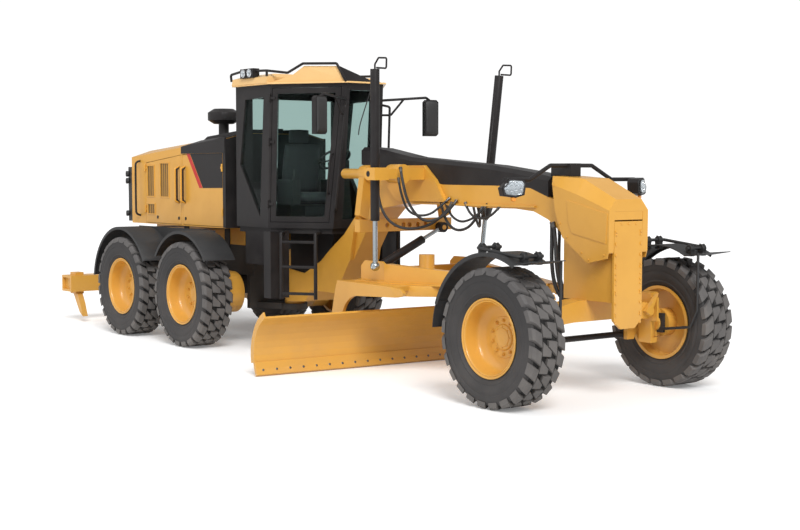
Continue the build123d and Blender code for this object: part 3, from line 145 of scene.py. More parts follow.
@dataclass(frozen=True)
class Surface:
    """One procedural finish: a base colour with mottling, wear, roughness and bump.

    Attributes:
        base: linear base colour.
        stain: linear colour that the mottling mixes in.
        stain_share: most that the mottling mixes in, 0 to 1.
        rough: lowest and highest roughness.
        metallic: metallic value, the same all over.
        coat: clear coat weight, the same all over.
        spec: specular level, the same all over.
        grain: scale of the fine bump, per metre.
        bump: height of the fine bump, in metres.
        dust: linear colour of the dust that lies low down, or None.
    """

    base: Colour
    stain: Colour
    stain_share: float
    rough: Pair
    metallic: float = 0.0
    coat: float = 0.0
    spec: float = 0.5
    grain: float = 300.0
    bump: float = 0.0004
    dust: Colour | None = None

    def build(self, name: str) -> bpy.types.Material:
        """Makes the node material.

        Args:
            name: the material's name.

        Returns:
            The new material.
        """
        mat = bpy.data.materials.new(name)
        mat.use_nodes = True
        tree = mat.node_tree
        bsdf = tree.nodes["Principled BSDF"]
        for label, value in (("Metallic", self.metallic), ("Coat Weight", self.coat),
                             ("Specular IOR Level", self.spec), ("Coat Roughness", COAT_ROUGHNESS)):
            bsdf.inputs[label].default_value = value
        place_on = tree.nodes.new("ShaderNodeTexCoord").outputs["Object"]
        large = noise(tree, place_on, MOTTLE_SCALE, 8.0, 0.62)
        fine = noise(tree, place_on, self.grain, 3.0)
        mix = mixed(tree, ranged(tree, large, (0.0, self.stain_share), (0.42, 0.72)), self.stain)
        mix.inputs["A"].default_value = (*self.base, 1)
        colour = mix.outputs["Result"]
        if self.dust:
            colour = self._dusted(tree, place_on, large, colour)
        tree.links.new(colour, bsdf.inputs["Base Color"])
        tree.links.new(ranged(tree, large, self.rough, (0.3, 0.7)), bsdf.inputs["Roughness"])
        bump = tree.nodes.new("ShaderNodeBump")
        bump.inputs["Distance"].default_value = self.bump
        bump.inputs["Strength"].default_value = BUMP_STRENGTH
        tree.links.new(fine, bump.inputs["Height"])
        tree.links.new(bump.outputs["Normal"], bsdf.inputs["Normal"])
        return mat

    def _dusted(self, tree: bpy.types.NodeTree, place_on: bpy.types.NodeSocket, large: bpy.types.NodeSocket,
                colour: bpy.types.NodeSocket) -> bpy.types.NodeSocket:
        """Mixes dust in towards the ground, broken up by the noise.

        Args:
            tree: the material's node tree.
            place_on: the place on the object.
            large: the mottling's noise.
            colour: the colour without dust.

        Returns:
            The dusted colour.
        """
        split = tree.nodes.new("ShaderNodeSeparateXYZ")
        tree.links.new(place_on, split.inputs["Vector"])
        times = tree.nodes.new("ShaderNodeMath")
        times.operation = "MULTIPLY"
        tree.links.new(ranged(tree, split.outputs["Z"], (0.0, DUST_SHARE), (DUST_TOP, 0.0)), times.inputs[0])
        tree.links.new(large, times.inputs[1])
        mix = mixed(tree, times.outputs["Value"], self.dust)
        tree.links.new(colour, mix.inputs["A"])
        return mix.outputs["Result"]


SURFACES = {
    Finish.YELLOW: Surface((0.70, 0.352, 0.045), (0.56, 0.262, 0.030), 0.35, (0.34, 0.46), coat=0.25, bump=0.0002,
                           dust=(0.50, 0.32, 0.14)),
    # painted highlight: a paler copy of the yellow, standing in for the light on the cab roof's top
    Finish.ROOF_PAINTED_HIGHLIGHT: Surface((0.80, 0.50, 0.20), (0.66, 0.40, 0.14), 0.35, (0.34, 0.46), coat=0.25, bump=0.0002,
                         dust=(0.55, 0.42, 0.26)),
    Finish.DARK: Surface((0.018, 0.016, 0.0165), (0.036, 0.033, 0.032), 0.6, (0.36, 0.5), spec=0.22, bump=0.0002),
    Finish.CAST: Surface((0.028, 0.027, 0.027), (0.065, 0.058, 0.052), 0.7, (0.5, 0.75), grain=120, bump=0.0012,
                         dust=(0.12, 0.10, 0.08)),
    Finish.CHROME: Surface((0.42, 0.46, 0.48), (0.28, 0.30, 0.32), 0.5, (0.14, 0.24), metallic=1.0, bump=0.00005),
    Finish.RUBBER: Surface((0.022, 0.0205, 0.021), (0.050, 0.046, 0.045), 0.75, (0.62, 0.85), grain=160, bump=0.0008,
                           dust=(0.13, 0.12, 0.115)),
    Finish.HOSE: Surface((0.018, 0.018, 0.019), (0.05, 0.048, 0.045), 0.5, (0.45, 0.65), grain=500, bump=0.0004),
    Finish.TRIM: Surface((0.022, 0.022, 0.023), (0.045, 0.043, 0.042), 0.5, (0.5, 0.7), grain=700, bump=0.0004),
    Finish.FABRIC: Surface((0.045, 0.045, 0.048), (0.085, 0.085, 0.09), 0.6, (0.8, 0.95), grain=900, bump=0.0008),
    Finish.REFLECTOR: Surface((0.75, 0.77, 0.80), (0.55, 0.57, 0.6), 0.5, (0.12, 0.22), metallic=1.0, bump=0.0001),
    Finish.AMBER: Surface((0.85, 0.32, 0.03), (0.6, 0.2, 0.02), 0.4, (0.2, 0.3), coat=0.5, bump=0.0001),
    Finish.RED: Surface((0.52, 0.010, 0.008), (0.42, 0.009, 0.007), 0.4, (0.4, 0.5), coat=0.1, bump=0.0001),
    Finish.STEEL: Surface((0.16, 0.155, 0.15), (0.10, 0.085, 0.07), 0.7, (0.3, 0.5), metallic=0.9, bump=0.0004),
    Finish.TREAD: Surface((0.085, 0.080, 0.079), (0.150, 0.140, 0.134), 0.8, (0.6, 0.82), grain=150, bump=0.0008,
                          dust=(0.24, 0.215, 0.19)),
    # painted shade: the same rubber as the walls, made darker for the shade between the tread blocks
    Finish.GROOVE_PAINTED_SHADE: Surface((0.010, 0.0095, 0.0095), (0.022, 0.020, 0.019), 0.6, (0.8, 0.95), grain=150, bump=0.0008),
    # partly painted shade: a darkened copy of the yellow, for the screens' own mesh with the shade inside the
    # enclosure seen through its holes
    Finish.SCREEN_WITH_PAINTED_SHADE: Surface((0.20, 0.105, 0.018), (0.10, 0.055, 0.012), 0.6, (0.5, 0.7), grain=420, bump=0.0015),
    Finish.MIRROR: Surface((0.82, 0.85, 0.88), (0.75, 0.78, 0.82), 0.3, (0.02, 0.05), metallic=1.0, bump=0.00002),
}


@dataclass(frozen=True)
class ClearSurface:
    """A clear material.

    Attributes:
        tint: linear colour of the pane.
        rough: roughness of both faces.
        ior: index of refraction.
    """

    tint: Colour
    rough: float
    ior: float

    def build(self, name: str) -> bpy.types.Material:
        """Makes the node material with faint smears in its roughness.

        Args:
            name: the material's name.

        Returns:
            The new material.
        """
        mat = bpy.data.materials.new(name)
        mat.use_nodes = True
        tree = mat.node_tree
        bsdf = tree.nodes["Principled BSDF"]
        for label, value in (("Base Color", (*self.tint, 1)), ("Transmission Weight", 1.0), ("IOR", self.ior)):
            bsdf.inputs[label].default_value = value
        smear = noise(tree, tree.nodes.new("ShaderNodeTexCoord").outputs["Object"], 4.0, 5.0)
        tree.links.new(ranged(tree, smear, (self.rough, self.rough + SMEAR)), bsdf.inputs["Roughness"])
        return mat


CLEAR = {
    Finish.GLASS: ClearSurface((0.76, 0.915, 0.885), 0.0, 1.12),
    Finish.LENS: ClearSurface((0.93, 0.96, 0.97), 0.02, 1.30),
}


class Paintbox:
    """Makes each finish's material once and hands it out."""

    def __init__(self) -> None:
        self._made: dict[Finish, bpy.types.Material] = {}

    def get(self, finish: Finish) -> bpy.types.Material:
        """Returns the material of a finish, making it on first use.

        Args:
            finish: the finish's name.

        Returns:
            Its material.
        """
        if finish not in self._made:
            source = CLEAR.get(finish) or SURFACES[finish]
            self._made[finish] = source.build(f"finish_{finish.value}")
        return self._made[finish]


PAINT = Paintbox()


# ---- mesh making
class Maker:
    """Collects simple shaped solids, in station millimetres, and makes one piece of them."""

    def __init__(self) -> None:
        self.bm = bmesh.new()

    def ring_loft(self, rings: list[list[Point]], closed: bool = True, capped: bool = True) -> None:
        """Joins equal rings of points by quads.

        Args:
            rings: the rings, each with as many points.
            closed: whether each ring closes on itself.
            capped: whether the first and last ring are filled.
        """
        made = [[self.bm.verts.new(p) for p in ring] for ring in rings]
        n = len(rings[0])
        for a, b in zip(made, made[1:]):
            for i in range(n if closed else n - 1):
                j = (i + 1) % n
                self.bm.faces.new((a[i], a[j], b[j], b[i]))
        if capped:
            self.bm.faces.new(made[0][::-1])
            self.bm.faces.new(made[-1])

    def prism(self, outline: list[Pair], lo: float, hi: float, axis: str) -> None:
        """Draws a flat outline out along an axis.

        Args:
            outline: the outline's corners in the other two axes, in their order.
            lo: where the prism starts on the axis.
            hi: where it ends.
            axis: "x", "y" or "z".
        """
        k = "xyz".index(axis)
        rings = []
        for h in (lo, hi):
            ring = []
            for a, b in outline:
                p = [a, b]
                p.insert(k, h)
                ring.append(tuple(p))
            rings.append(ring)
        self.ring_loft(rings)

    def block(self, x: Pair, y: Pair, z: Pair) -> None:
        """Adds a plate or block between three pairs of limits."""
        self.prism([(x[0], y[0]), (x[1], y[0]), (x[1], y[1]), (x[0], y[1])], z[0], z[1], "z")

    def turned(self, profile: list[Pair], origin: Point, axis: Vector, sides: int = 32) -> None:
        """Turns a profile of (distance along the axis, radius) about an axis.

        Args:
            profile: the profile's points.
            origin: where distance 0 lies.
            axis: the axis's direction.
            sides: how many sides the round has.
        """
        axis = Vector(axis).normalized()
        u = axis.orthogonal().normalized()
        v = axis.cross(u)
        o = Vector(origin)
        rings = []
        for w, r in profile:
            r = max(r, 0.05)
            rings.append([tuple(o + axis * w + (u * cos(t) + v * sin(t)) * r)
                          for t in (2 * pi * i / sides for i in range(sides))])
        self.ring_loft(rings)

    def bar(self, a: Point, b: Point, r: float, sides: int = 16) -> None:
        """Adds a round bar with chamfered ends."""
        d = Vector(b) - Vector(a)
        c = min(r * 0.2, d.length * 0.2)
        self.turned([(0, r - c), (c, r), (d.length - c, r), (d.length, r - c)], a, d, sides)

    def bolt(self, at: Point, axis: Vector, r: float = 12.0, h: float = 9.0) -> None:
        """Adds a hexagon head with its washer and chamfer."""
        self.turned([(0, r * 1.35), (1.8, r * 1.35)], at, axis, 14)
        self.turned([(1.5, r), (h * 0.8, r), (h, r * 0.8)], at, axis, 6)

    def piece(self, name: str, body: str, finish: Finish, bevel: float = 2.0, smooth: float = 35.0,
              ) -> bpy.types.Object:
        """Makes the collected solids one object that rides on a body.

        Args:
            name: the piece's name.
            body: the CAD body that it rides on.
            finish: its finish.
            bevel: width of the rounded edges in millimetres, or 0.
            smooth: edges flatter than this many degrees are shaded smooth.

        Returns:
            The new object.
        """
        bmesh.ops.recalc_face_normals(self.bm, faces=self.bm.faces)
        mesh = bpy.data.meshes.new(name)
        self.bm.to_mesh(mesh)
        self.bm.free()
        mesh.transform(Matrix.Translation((SHIFT_X / 1000, 0, 0)) @ Matrix.Scale(0.001, 4))
        mesh.polygons.foreach_set("use_smooth", [True] * len(mesh.polygons))
        mesh.set_sharp_from_angle(angle=radians(smooth))
        obj = bpy.data.objects.new(name, mesh)
        bpy.context.scene.collection.objects.link(obj)
        if bevel:
            soften(obj, bevel / 1000, 38)
        dress(obj, body, finish)
        return obj


def soften(obj: bpy.types.Object, width: float, sharp: float) -> None:
    """Rounds an object's edges that are sharper than an angle in degrees, by a width in metres."""
    mod = obj.modifiers.new("bevel", "BEVEL")
    mod.width = width
    mod.segments = 2
    mod.limit_method = "ANGLE"
    mod.angle_limit = radians(sharp)
    mod.harden_normals = True


def dress(obj: bpy.types.Object, body: str, finish: Finish) -> None:
    """Gives a piece its finish and the body that it rides on."""
    obj.data.materials.clear()
    obj.data.materials.append(PAINT.get(finish))
    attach(obj, body)
    LOG.info("made %s on %s", obj.name, body)


def hose(name: str, body: str, points: list[Point], r: float, finish: Finish = Finish.HOSE) -> bpy.types.Object:
    """Makes a smooth round line, such as a hydraulic hose or a bent bar, along control points.

    Args:
        name: the piece's name.
        body: the body that it rides on.
        points: control points in station millimetres.
        r: radius in millimetres.
        finish: its finish.

    Returns:
        The new curve object.
    """
    data = bpy.data.curves.new(name, "CURVE")
    data.dimensions = "3D"
    data.bevel_depth = r / 1000
    data.bevel_resolution = 3
    data.resolution_u = 10
    data.use_fill_caps = True
    spline = data.splines.new("NURBS")
    spline.points.add(len(points) - 1)
    for target, p in zip(spline.points, points):
        target.co = (*place(p), 1.0)
    spline.order_u = 3
    spline.use_endpoint_u = True
    obj = bpy.data.objects.new(name, data)
    bpy.context.scene.collection.objects.link(obj)
    dress(obj, body, finish)
    return obj


def bent_bar(name: str, body: str, points: list[Point], r: float, bend: float, finish: Finish) -> bpy.types.Object:
    """Makes a tube along straight runs with round bends.

    Args:
        name: the piece's name.
        body: the body that it rides on.
        points: the runs' corners in station millimetres.
        r: radius of the tube.
        bend: radius of the bends.
        finish: its finish.

    Returns:
        The new object.
    """
    path = [Vector(points[0])]
    for a, b, c in zip(points, points[1:], points[2:]):
        a, b, c = Vector(a), Vector(b), Vector(c)
        u, v = (a - b).normalized(), (c - b).normalized()
        half = u.angle(v) / 2
        cut = bend / tan(half)
        centre = b + (u + v).normalized() * (bend / sin(half))
        start, end = b + u * cut - centre, b + v * cut - centre
        for k in range(7):
            path.append(centre + start.slerp(end, k / 6))
    path.append(Vector(points[-1]))
    maker, rings, normal = Maker(), [], None
    for i, p in enumerate(path):
        d = (path[min(i + 1, len(path) - 1)] - path[max(i - 1, 0)]).normalized()
        normal = d.orthogonal() if normal is None else normal
        normal = (normal - d * normal.dot(d)).normalized()
        side = d.cross(normal)
        rings.append([tuple(p + (normal * cos(t) + side * sin(t)) * r)
                      for t in (2 * pi * k / 14 for k in range(14))])
    maker.ring_loft(rings)
    return maker.piece(name, body, finish, bevel=0, smooth=50)


# ---- CAD nodes
# the starts of the names of the CAD nodes that stay, by their finish
NODE_FINISHES = {
    Finish.YELLOW: ("tandem_case", "hood_shell", "hood_door", "front_frame", "nose_cover", "saddle", "front_axle",
                    "drawbar", "circle", "blade_bracket", "mouldboard", "ripper", "yoke", "knuckle"),
    Finish.CAST: ("rear_frame", "engine"),
    Finish.DARK: ("hood_cover", "frame_cover", "cab_shell", "cab_base", "cab_fittings", "cab_door", "lean_bar",
                  "centre_barrel", "lift_barrel"),
    # the cab roof takes the paler yellow, a painted highlight on its top
    Finish.ROOF_PAINTED_HIGHLIGHT: ("cab_roof",),
    Finish.GLASS: ("cab_glass", "door_glass"),
    Finish.CHROME: ("centre_rod", "lift_rod"),
    Finish.TRIM: ("rear_fenders", "front_fender"),
}


class CadNodes:
    """Gives the CAD nodes that stay their finishes and softened edges."""

    def build(self) -> None:
        """Assigns materials and adds the edge modifiers."""
        for name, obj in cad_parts.items():
            finish = next((f for f, starts in NODE_FINISHES.items() if name.startswith(starts)), None)
            if finish is None:
                continue
            for slot in obj.material_slots:
                slot.material = PAINT.get(finish)
            if finish is Finish.GLASS:
                continue
            weld = obj.modifiers.new("weld", "WELD")
            weld.merge_threshold = 0.00008
            soften(obj, 0.003, 40)


# ---- wheels
@dataclass
class Wheel:
    """Tyre and rim of one wheel.

    Attributes:
        axle: "front", "mid" or "rear".
        side: "left" or "right".
        x: station of the axle.
        s: 1 on the left, -1 on the right.
    """

    axle: str
    side: str
    x: float
    s: int

    RADIUS = 606.0
    TRACK = 1070.0
    BLOCKS = 24
    NUTS = 10

    @property
    def tag(self) -> str:
        """The wheel's name."""
        return f"{self.axle}_{self.side}"

    def polar(self, w: float, r: float, a: float) -> Point:
        """A point from the distance outwards from the tyre's middle, the radius and the angle."""
        return (self.x + r * cos(a), self.s * (self.TRACK + w), self.RADIUS + r * sin(a))

    def revolve(self, maker: Maker, profile: list[Pair], sides: int = 96) -> None:
        """Turns a profile of (w, r) round the axle as a strip."""
        rings = [[self.polar(w, r, 2 * pi * i / sides) for i in range(sides)] for w, r in profile]
        maker.ring_loft(rings, capped=False)

    def tyre(self) -> None:
        """Makes the tyre: ribbed walls, the base of the tread, painted darker than the wall rubber as shade between
        the blocks, and two rows of staggered blocks.
        """
        wall = [(150, 577), (168, 568), (177, 552), (181, 538), (184, 522), (186.5, 505), (186.5, 492), (184, 488),
                (184, 474), (186, 470), (184, 445), (177, 418), (171, 400), (172.5, 396), (172, 386), (167, 382),
                (158, 366), (148, 356), (143, 340), (141, 331)]
        body = f"wheel_{self.tag}"
        walls = Maker()
        self.revolve(walls, wall)
        self.revolve(walls, [(-w, r) for w, r in wall])
        self.revolve(walls, [(-141, 331), (0, 331), (141, 331)])
        obj = walls.piece(f"tyre_{self.tag}_walls", body, Finish.RUBBER, bevel=0, smooth=32)
        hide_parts(f"tyre_{self.tag}")
        # the tread's base takes the darker rubber, painted shade in the grooves between the blocks
        base = Maker()
        half = [(0, 579), (120, 578.5), (150, 577)]
        self.revolve(base, [(-w, r) for w, r in reversed(half[1:])] + half)
        base.piece(f"tyre_{self.tag}_base", body, Finish.GROOVE_PAINTED_SHADE, bevel=0, smooth=32)
        blocks = Maker()
        step = 2 * pi / self.BLOCKS
        for row in (1, -1):
            for i in range(self.BLOCKS):
                a = (i + (0.5 if row < 0 else 0.0)) * step
                self.tread_block(blocks, a, row, -16, 80, 26, 62, -26)
                self.tread_block(blocks, a, row, 90, 185, 60, 52, 40)
        blocks.piece(f"tyre_{self.tag}_blocks", body, Finish.TREAD, bevel=0, smooth=32)

    def tread_block(self, maker: Maker, a: float, row: int, w0: float, w1: float, half0: float, half1: float,
                    shift: float) -> None:
        """Adds one tread block between two distances from the middle, skewed and chamfered.

        Args:
            maker: what the block is added to.
            a: the block's angle round the axle.
            row: 1 for the outer row, -1 for the inner one.
            w0: its near end's distance from the tyre's middle.
            w1: its far end's distance.
            half0: half its width at the near end.
            half1: half its width at the far end.
            shift: how far it stands round the tyre from its angle.
        """
        rings = []
        for k in range(5):
            f = k / 4
            w = w0 + (w1 - w0) * f
            t = shift + (w - 95) * tan(radians(34 if w1 > 100 else 28))
            hw = half0 + (half1 - half0) * f
            edge = max(0.0, (w - 160) / 25)
            top = self.RADIUS - 0.3 - 16 * edge * edge - (2.0 if k in (0, 4) else 0.0)
            base = 578 - 34 * edge
            ring = []
            for dt, r in ((-hw - 5, base), (-hw, top - 5), (-hw + 5, top),
                          (hw - 5, top), (hw, top - 5), (hw + 5, base)):
                ring.append(self.polar(row * w, r, a + row * (t + dt) / self.RADIUS))
            rings.append(ring)
        maker.ring_loft(rings)

    def rim(self) -> None:
        """Makes the dished rim with its lock ring, hub, studs and nuts."""
        maker = Maker()
        out = [(141, 333), (147, 345), (156, 347.5), (160, 344), (160, 337), (155, 331), (150, 330), (147, 326),
               (151, 322), (151, 316), (146, 312), (128, 310), (90, 308), (48, 306), (20, 300), (2, 288), (-14, 268),
               (-24, 246), (-28, 226), (-30, 205), (-30, 182), (-24, 178), (-24, 116), (-16, 112), (-10, 106),
               (-8, 98), (-8, 84), (-2, 80), (0, 60), (2, 34), (0, 28), (0, 0.5)]
        back = [(-141, 333), (-147, 345), (-160, 347), (-160, 318), (-150, 312), (-60, 312), (-50, 300), (-50, 0.5)]
        self.revolve(maker, back[::-1] + out)
        axis = Vector((0, self.s, 0))
        for i in range(self.NUTS):
            a = 2 * pi * (i + 0.5) / self.NUTS
            at = self.polar(-24, 146, a)
            maker.turned([(0, 19), (3, 19), (3, 15)], at, axis, 20)
            maker.turned([(2, 15), (15, 15), (18, 12)], at, axis, 6)
            maker.turned([(15, 7), (25, 7), (26, 5.5)], at, axis, 10)
        for i in range(8):
            a = 2 * pi * i / 8
            maker.bolt(self.polar(-8, 90, a), axis, 6, 6)
        valve = self.polar(40, 300, radians(68))
        maker.turned([(0, 7), (30, 5), (52, 5), (54, 3)], valve, axis, 10)
        obj = maker.piece(f"rim_{self.tag}_disc", f"wheel_{self.tag}", Finish.YELLOW, bevel=0, smooth=38)
        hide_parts(f"rim_{self.tag}")

    def build(self) -> None:
        """Makes both pieces."""
        self.tyre()
        self.rim()


# ---- lamps
@dataclass
class HeadLamps:
    """Lenses, reflectors and bezels of the two headlamps over the nose, and the twin work lamp on the roof."""

    x: float = -190.0
    y: float = 790.0
    z: float = 1880.0

    def build(self) -> None:
        """Makes the lamps' pieces."""
        for side, s in SIDES:
            self.headlamp(side, s)
        self.work_lamp()

    def headlamp(self, side: str, s: int) -> None:
        """Makes one headlamp's rim, reflector cells, clear lens and marker."""
        turn = Matrix.Translation((self.x, s * self.y, self.z)) @ Matrix.Rotation(radians(s * 22), 4, "Z")

        def at(u: float, v: float, d: float) -> Point:
            """A point across, up and out from the lamp's face."""
            return tuple(turn @ Vector((50 + d, -s * u, v)))

        shell = [(-58, 40), (-46, 78), (88, 70), (107, 37), (92, -56), (18, -76), (-88, -62), (-103, 0)]
        rim = Maker()
        rim.ring_loft([[at(u, v, 0) for u, v in shell], [at(u, v, 10) for u, v in shell],
                       [at(u * 0.88, v * 0.86, 10) for u, v in shell],
                       [at(u * 0.88, v * 0.86, 1) for u, v in shell]], capped=False)
        rim.piece(f"headlamp_{side}_rim", "front_frame", Finish.TRIM, bevel=1.5)
        axis = turn.to_3x3() @ Vector((1, 0, 0))
        cells = Maker()
        cells.ring_loft([[at(u * 0.86, v * 0.84, d) for u, v in shell] for d in (0.6, 2.0)])
        for u, v in ((-62, 22), (-62, -30), (-22, 30), (-22, -34), (24, 30), (24, -24), (68, 24), (68, -20)):
            cells.turned([(2.0, 20), (5.5, 18), (6.5, 12), (4.0, 4)], at(u, v, 0), axis, 20)
        cells.piece(f"headlamp_{side}_cells", "front_frame", Finish.REFLECTOR, bevel=0)
        lens = Maker()
        rings = []
        for f, d in ((1.0, 8.5), (0.97, 12.0), (0.75, 16.0), (0.4, 18.0)):
            rings.append([at(u * 0.88 * f, v * 0.86 * f, d) for u, v in shell])
        lens.ring_loft([[at(u * 0.88, v * 0.86, 6.5) for u, v in shell]] + rings)
        lens.piece(f"headlamp_{side}_lens", "front_frame", Finish.LENS, bevel=0, smooth=60)
        lamp = Maker()
        lamp.turned([(0, 24), (18, 24), (26, 18)], at(4, -96, -30), axis, 20)
        lamp.piece(f"headlamp_{side}_marker", "front_frame", Finish.AMBER, bevel=0)

    def work_lamp(self) -> None:
        """Makes the twin lenses of the work lamp on the roof's near corner."""
        for k in range(2):
            ring = Maker()
            at = (-4650 + 130 * k, -800, 3114)
            ring.turned([(0, 44), (8, 46), (12, 42), (6, 36), (2, 20), (1, 4)], at, Vector((0, -1, 0)), 28)
            ring.piece(f"work_lamp_bowl_{k}", "front_frame", Finish.REFLECTOR, bevel=0)
            lens = Maker()
            lens.turned([(6, 38), (11, 36), (15, 24), (16, 6)], at, Vector((0, -1, 0)), 28)
            lens.piece(f"work_lamp_lens_{k}", "front_frame", Finish.LENS, bevel=0, smooth=60)


# ---- hood
@dataclass
class HoodTrim:
    """Patch, bar, screens, handles and guards of the engine enclosure.

    Attributes:
        half: half the hood's width.
        screens: limits along X and Z of the rear door's screens.
    """

    half: float = 700.0
    screens: tuple[tuple[Pair, Pair], ...] = (
        ((-7164, -6993), (1713, 2090)), ((-6820, -6609), (1709, 2120)), ((-7158, -6983), (1491, 1608)))

    def build(self) -> None:
        """Makes the trim of both sides."""
        for side, s in SIDES:
            self.patch(side, s)
            self.frames(side, s)
            self.bars(side, s)
            self.tail_guard(side, s)
        front = Maker()
        front.prism([(-698, 1362), (698, 1362), (698, 2398), (430, 2466), (-430, 2466), (-698, 2398)],
                    -5230, -5222, "x")
        front.piece("hood_front_panel", "rear_frame", Finish.DARK, bevel=3)

    def tail_guard(self, side: str, s: int) -> None:
        """Makes the dark corner guard beside the cooler with its lamps."""
        guard = Maker()
        guard.prism([(-7602, s * 602), (-7768, s * 602), (-7768, s * 650), (-7720, s * 692), (-7602, s * 692)],
                    1380, 2080, "z")
        guard.piece(f"tail_guard_{side}", "rear_frame", Finish.TRIM, bevel=8)
        lamps = Maker()
        for z in (1480, 1900, 1990):
            lamps.turned([(0, 34), (30, 38), (40, 34), (42, 20)], (-7700, s * 690, z), Vector((-0.6, s * 0.8, 0)), 24)
        lamps.piece(f"tail_lamps_{side}", "rear_frame", Finish.TRIM, bevel=0)

    def patch(self, side: str, s: int) -> None:
        """Makes the dark panel patch with the red bar along its slanted edge."""
        y = sorted((s * self.half, s * (self.half + 1.5)))
        dark = Maker()
        dark.prism([(-6064, 2236), (-5758, 1824), (-5298, 1830), (-5298, 2236)], y[0], y[1], "y")
        body = f"hood_door_front_{side}"
        dark.piece(f"hood_patch_{side}", body, Finish.DARK, bevel=0)
        red = Maker()
        red.prism([(-6150, 2236), (-5842, 1824), (-5766, 1824), (-6074, 2236)], y[0], y[1], "y")
        red.piece(f"hood_bar_{side}", body, Finish.RED, bevel=0)

    def frames(self, side: str, s: int) -> None:
        """Makes the screens with their raised frames, and the dark strip before the hood."""
        frames = Maker()
        y0, y1 = sorted((s * (self.half - 2), s * (self.half + 7)))
        for (a, b), (lo, hi) in self.screens:
            for box in (((a - 16, b + 16), (hi, hi + 16)), ((a - 16, b + 16), (lo - 16, lo)),
                        ((a - 16, a), (lo, hi)), ((b, b + 16), (lo, hi))):
                frames.block(box[0], (y0, y1), box[1])
        frames.piece(f"screen_frames_{side}", f"hood_door_rear_{side}", Finish.YELLOW, bevel=2)
        # the screens' sheets are the darkened yellow: their own mesh, partly painted shade of the enclosure behind
        # its holes
        mesh = Maker()
        y0, y1 = sorted((s * (self.half - 6), s * (self.half - 3)))
        for (a, b), (lo, hi) in self.screens:
            mesh.block((a + 2, b - 2), (y0, y1), (lo + 2, hi - 2))
        mesh.piece(f"screen_mesh_{side}", f"hood_door_rear_{side}", Finish.SCREEN_WITH_PAINTED_SHADE, bevel=0)
        strip = Maker()
        y0, y1 = sorted((s * (self.half - 10), s * (self.half + 6)))
        strip.block((-5286, -5222), (y0, y1), (1366, 2420))
        strip.piece(f"hood_strip_{side}", "rear_frame", Finish.DARK, bevel=3)

    def bars(self, side: str, s: int) -> None:
        """Makes the grab bars at the tail and on the doors, and the latches."""
        y = self.half
        points = [(-7368, s * (y + out), z) for out, z in ((-2, 1463), (62, 1470), (66, 1560), (66, 1810), (66, 2060),
                                                           (62, 2148), (-2, 2155))]
        hose(f"tail_bar_{side}", "rear_frame", points, 13, Finish.DARK)
        for which, x in (("front", -6195), ("rear", -6345)):
            grip = [(x, s * (y + out), z) for out, z in ((-2, 1640), (55, 1660), (55, 2060), (-2, 2080))]
            bent_bar(f"door_bar_{which}_{side}", f"hood_door_{which}_{side}", grip, 13.2, 24, Finish.DARK)
        for which, xs in (("front", (-6180,)), ("rear", (-6350, -6900))):
            latch = Maker()
            for x in xs:
                latch.turned([(0, 20), (6, 20), (8, 16), (8, 6)], (x, s * y, 1450), Vector((0, s, 0)), 24)
                latch.block((x - 5, x + 5), sorted((s * (y + 4), s * (y + 12))), (1436, 1464))
            latch.piece(f"latches_{which}_{side}", f"hood_door_{which}_{side}", Finish.TRIM, bevel=1)


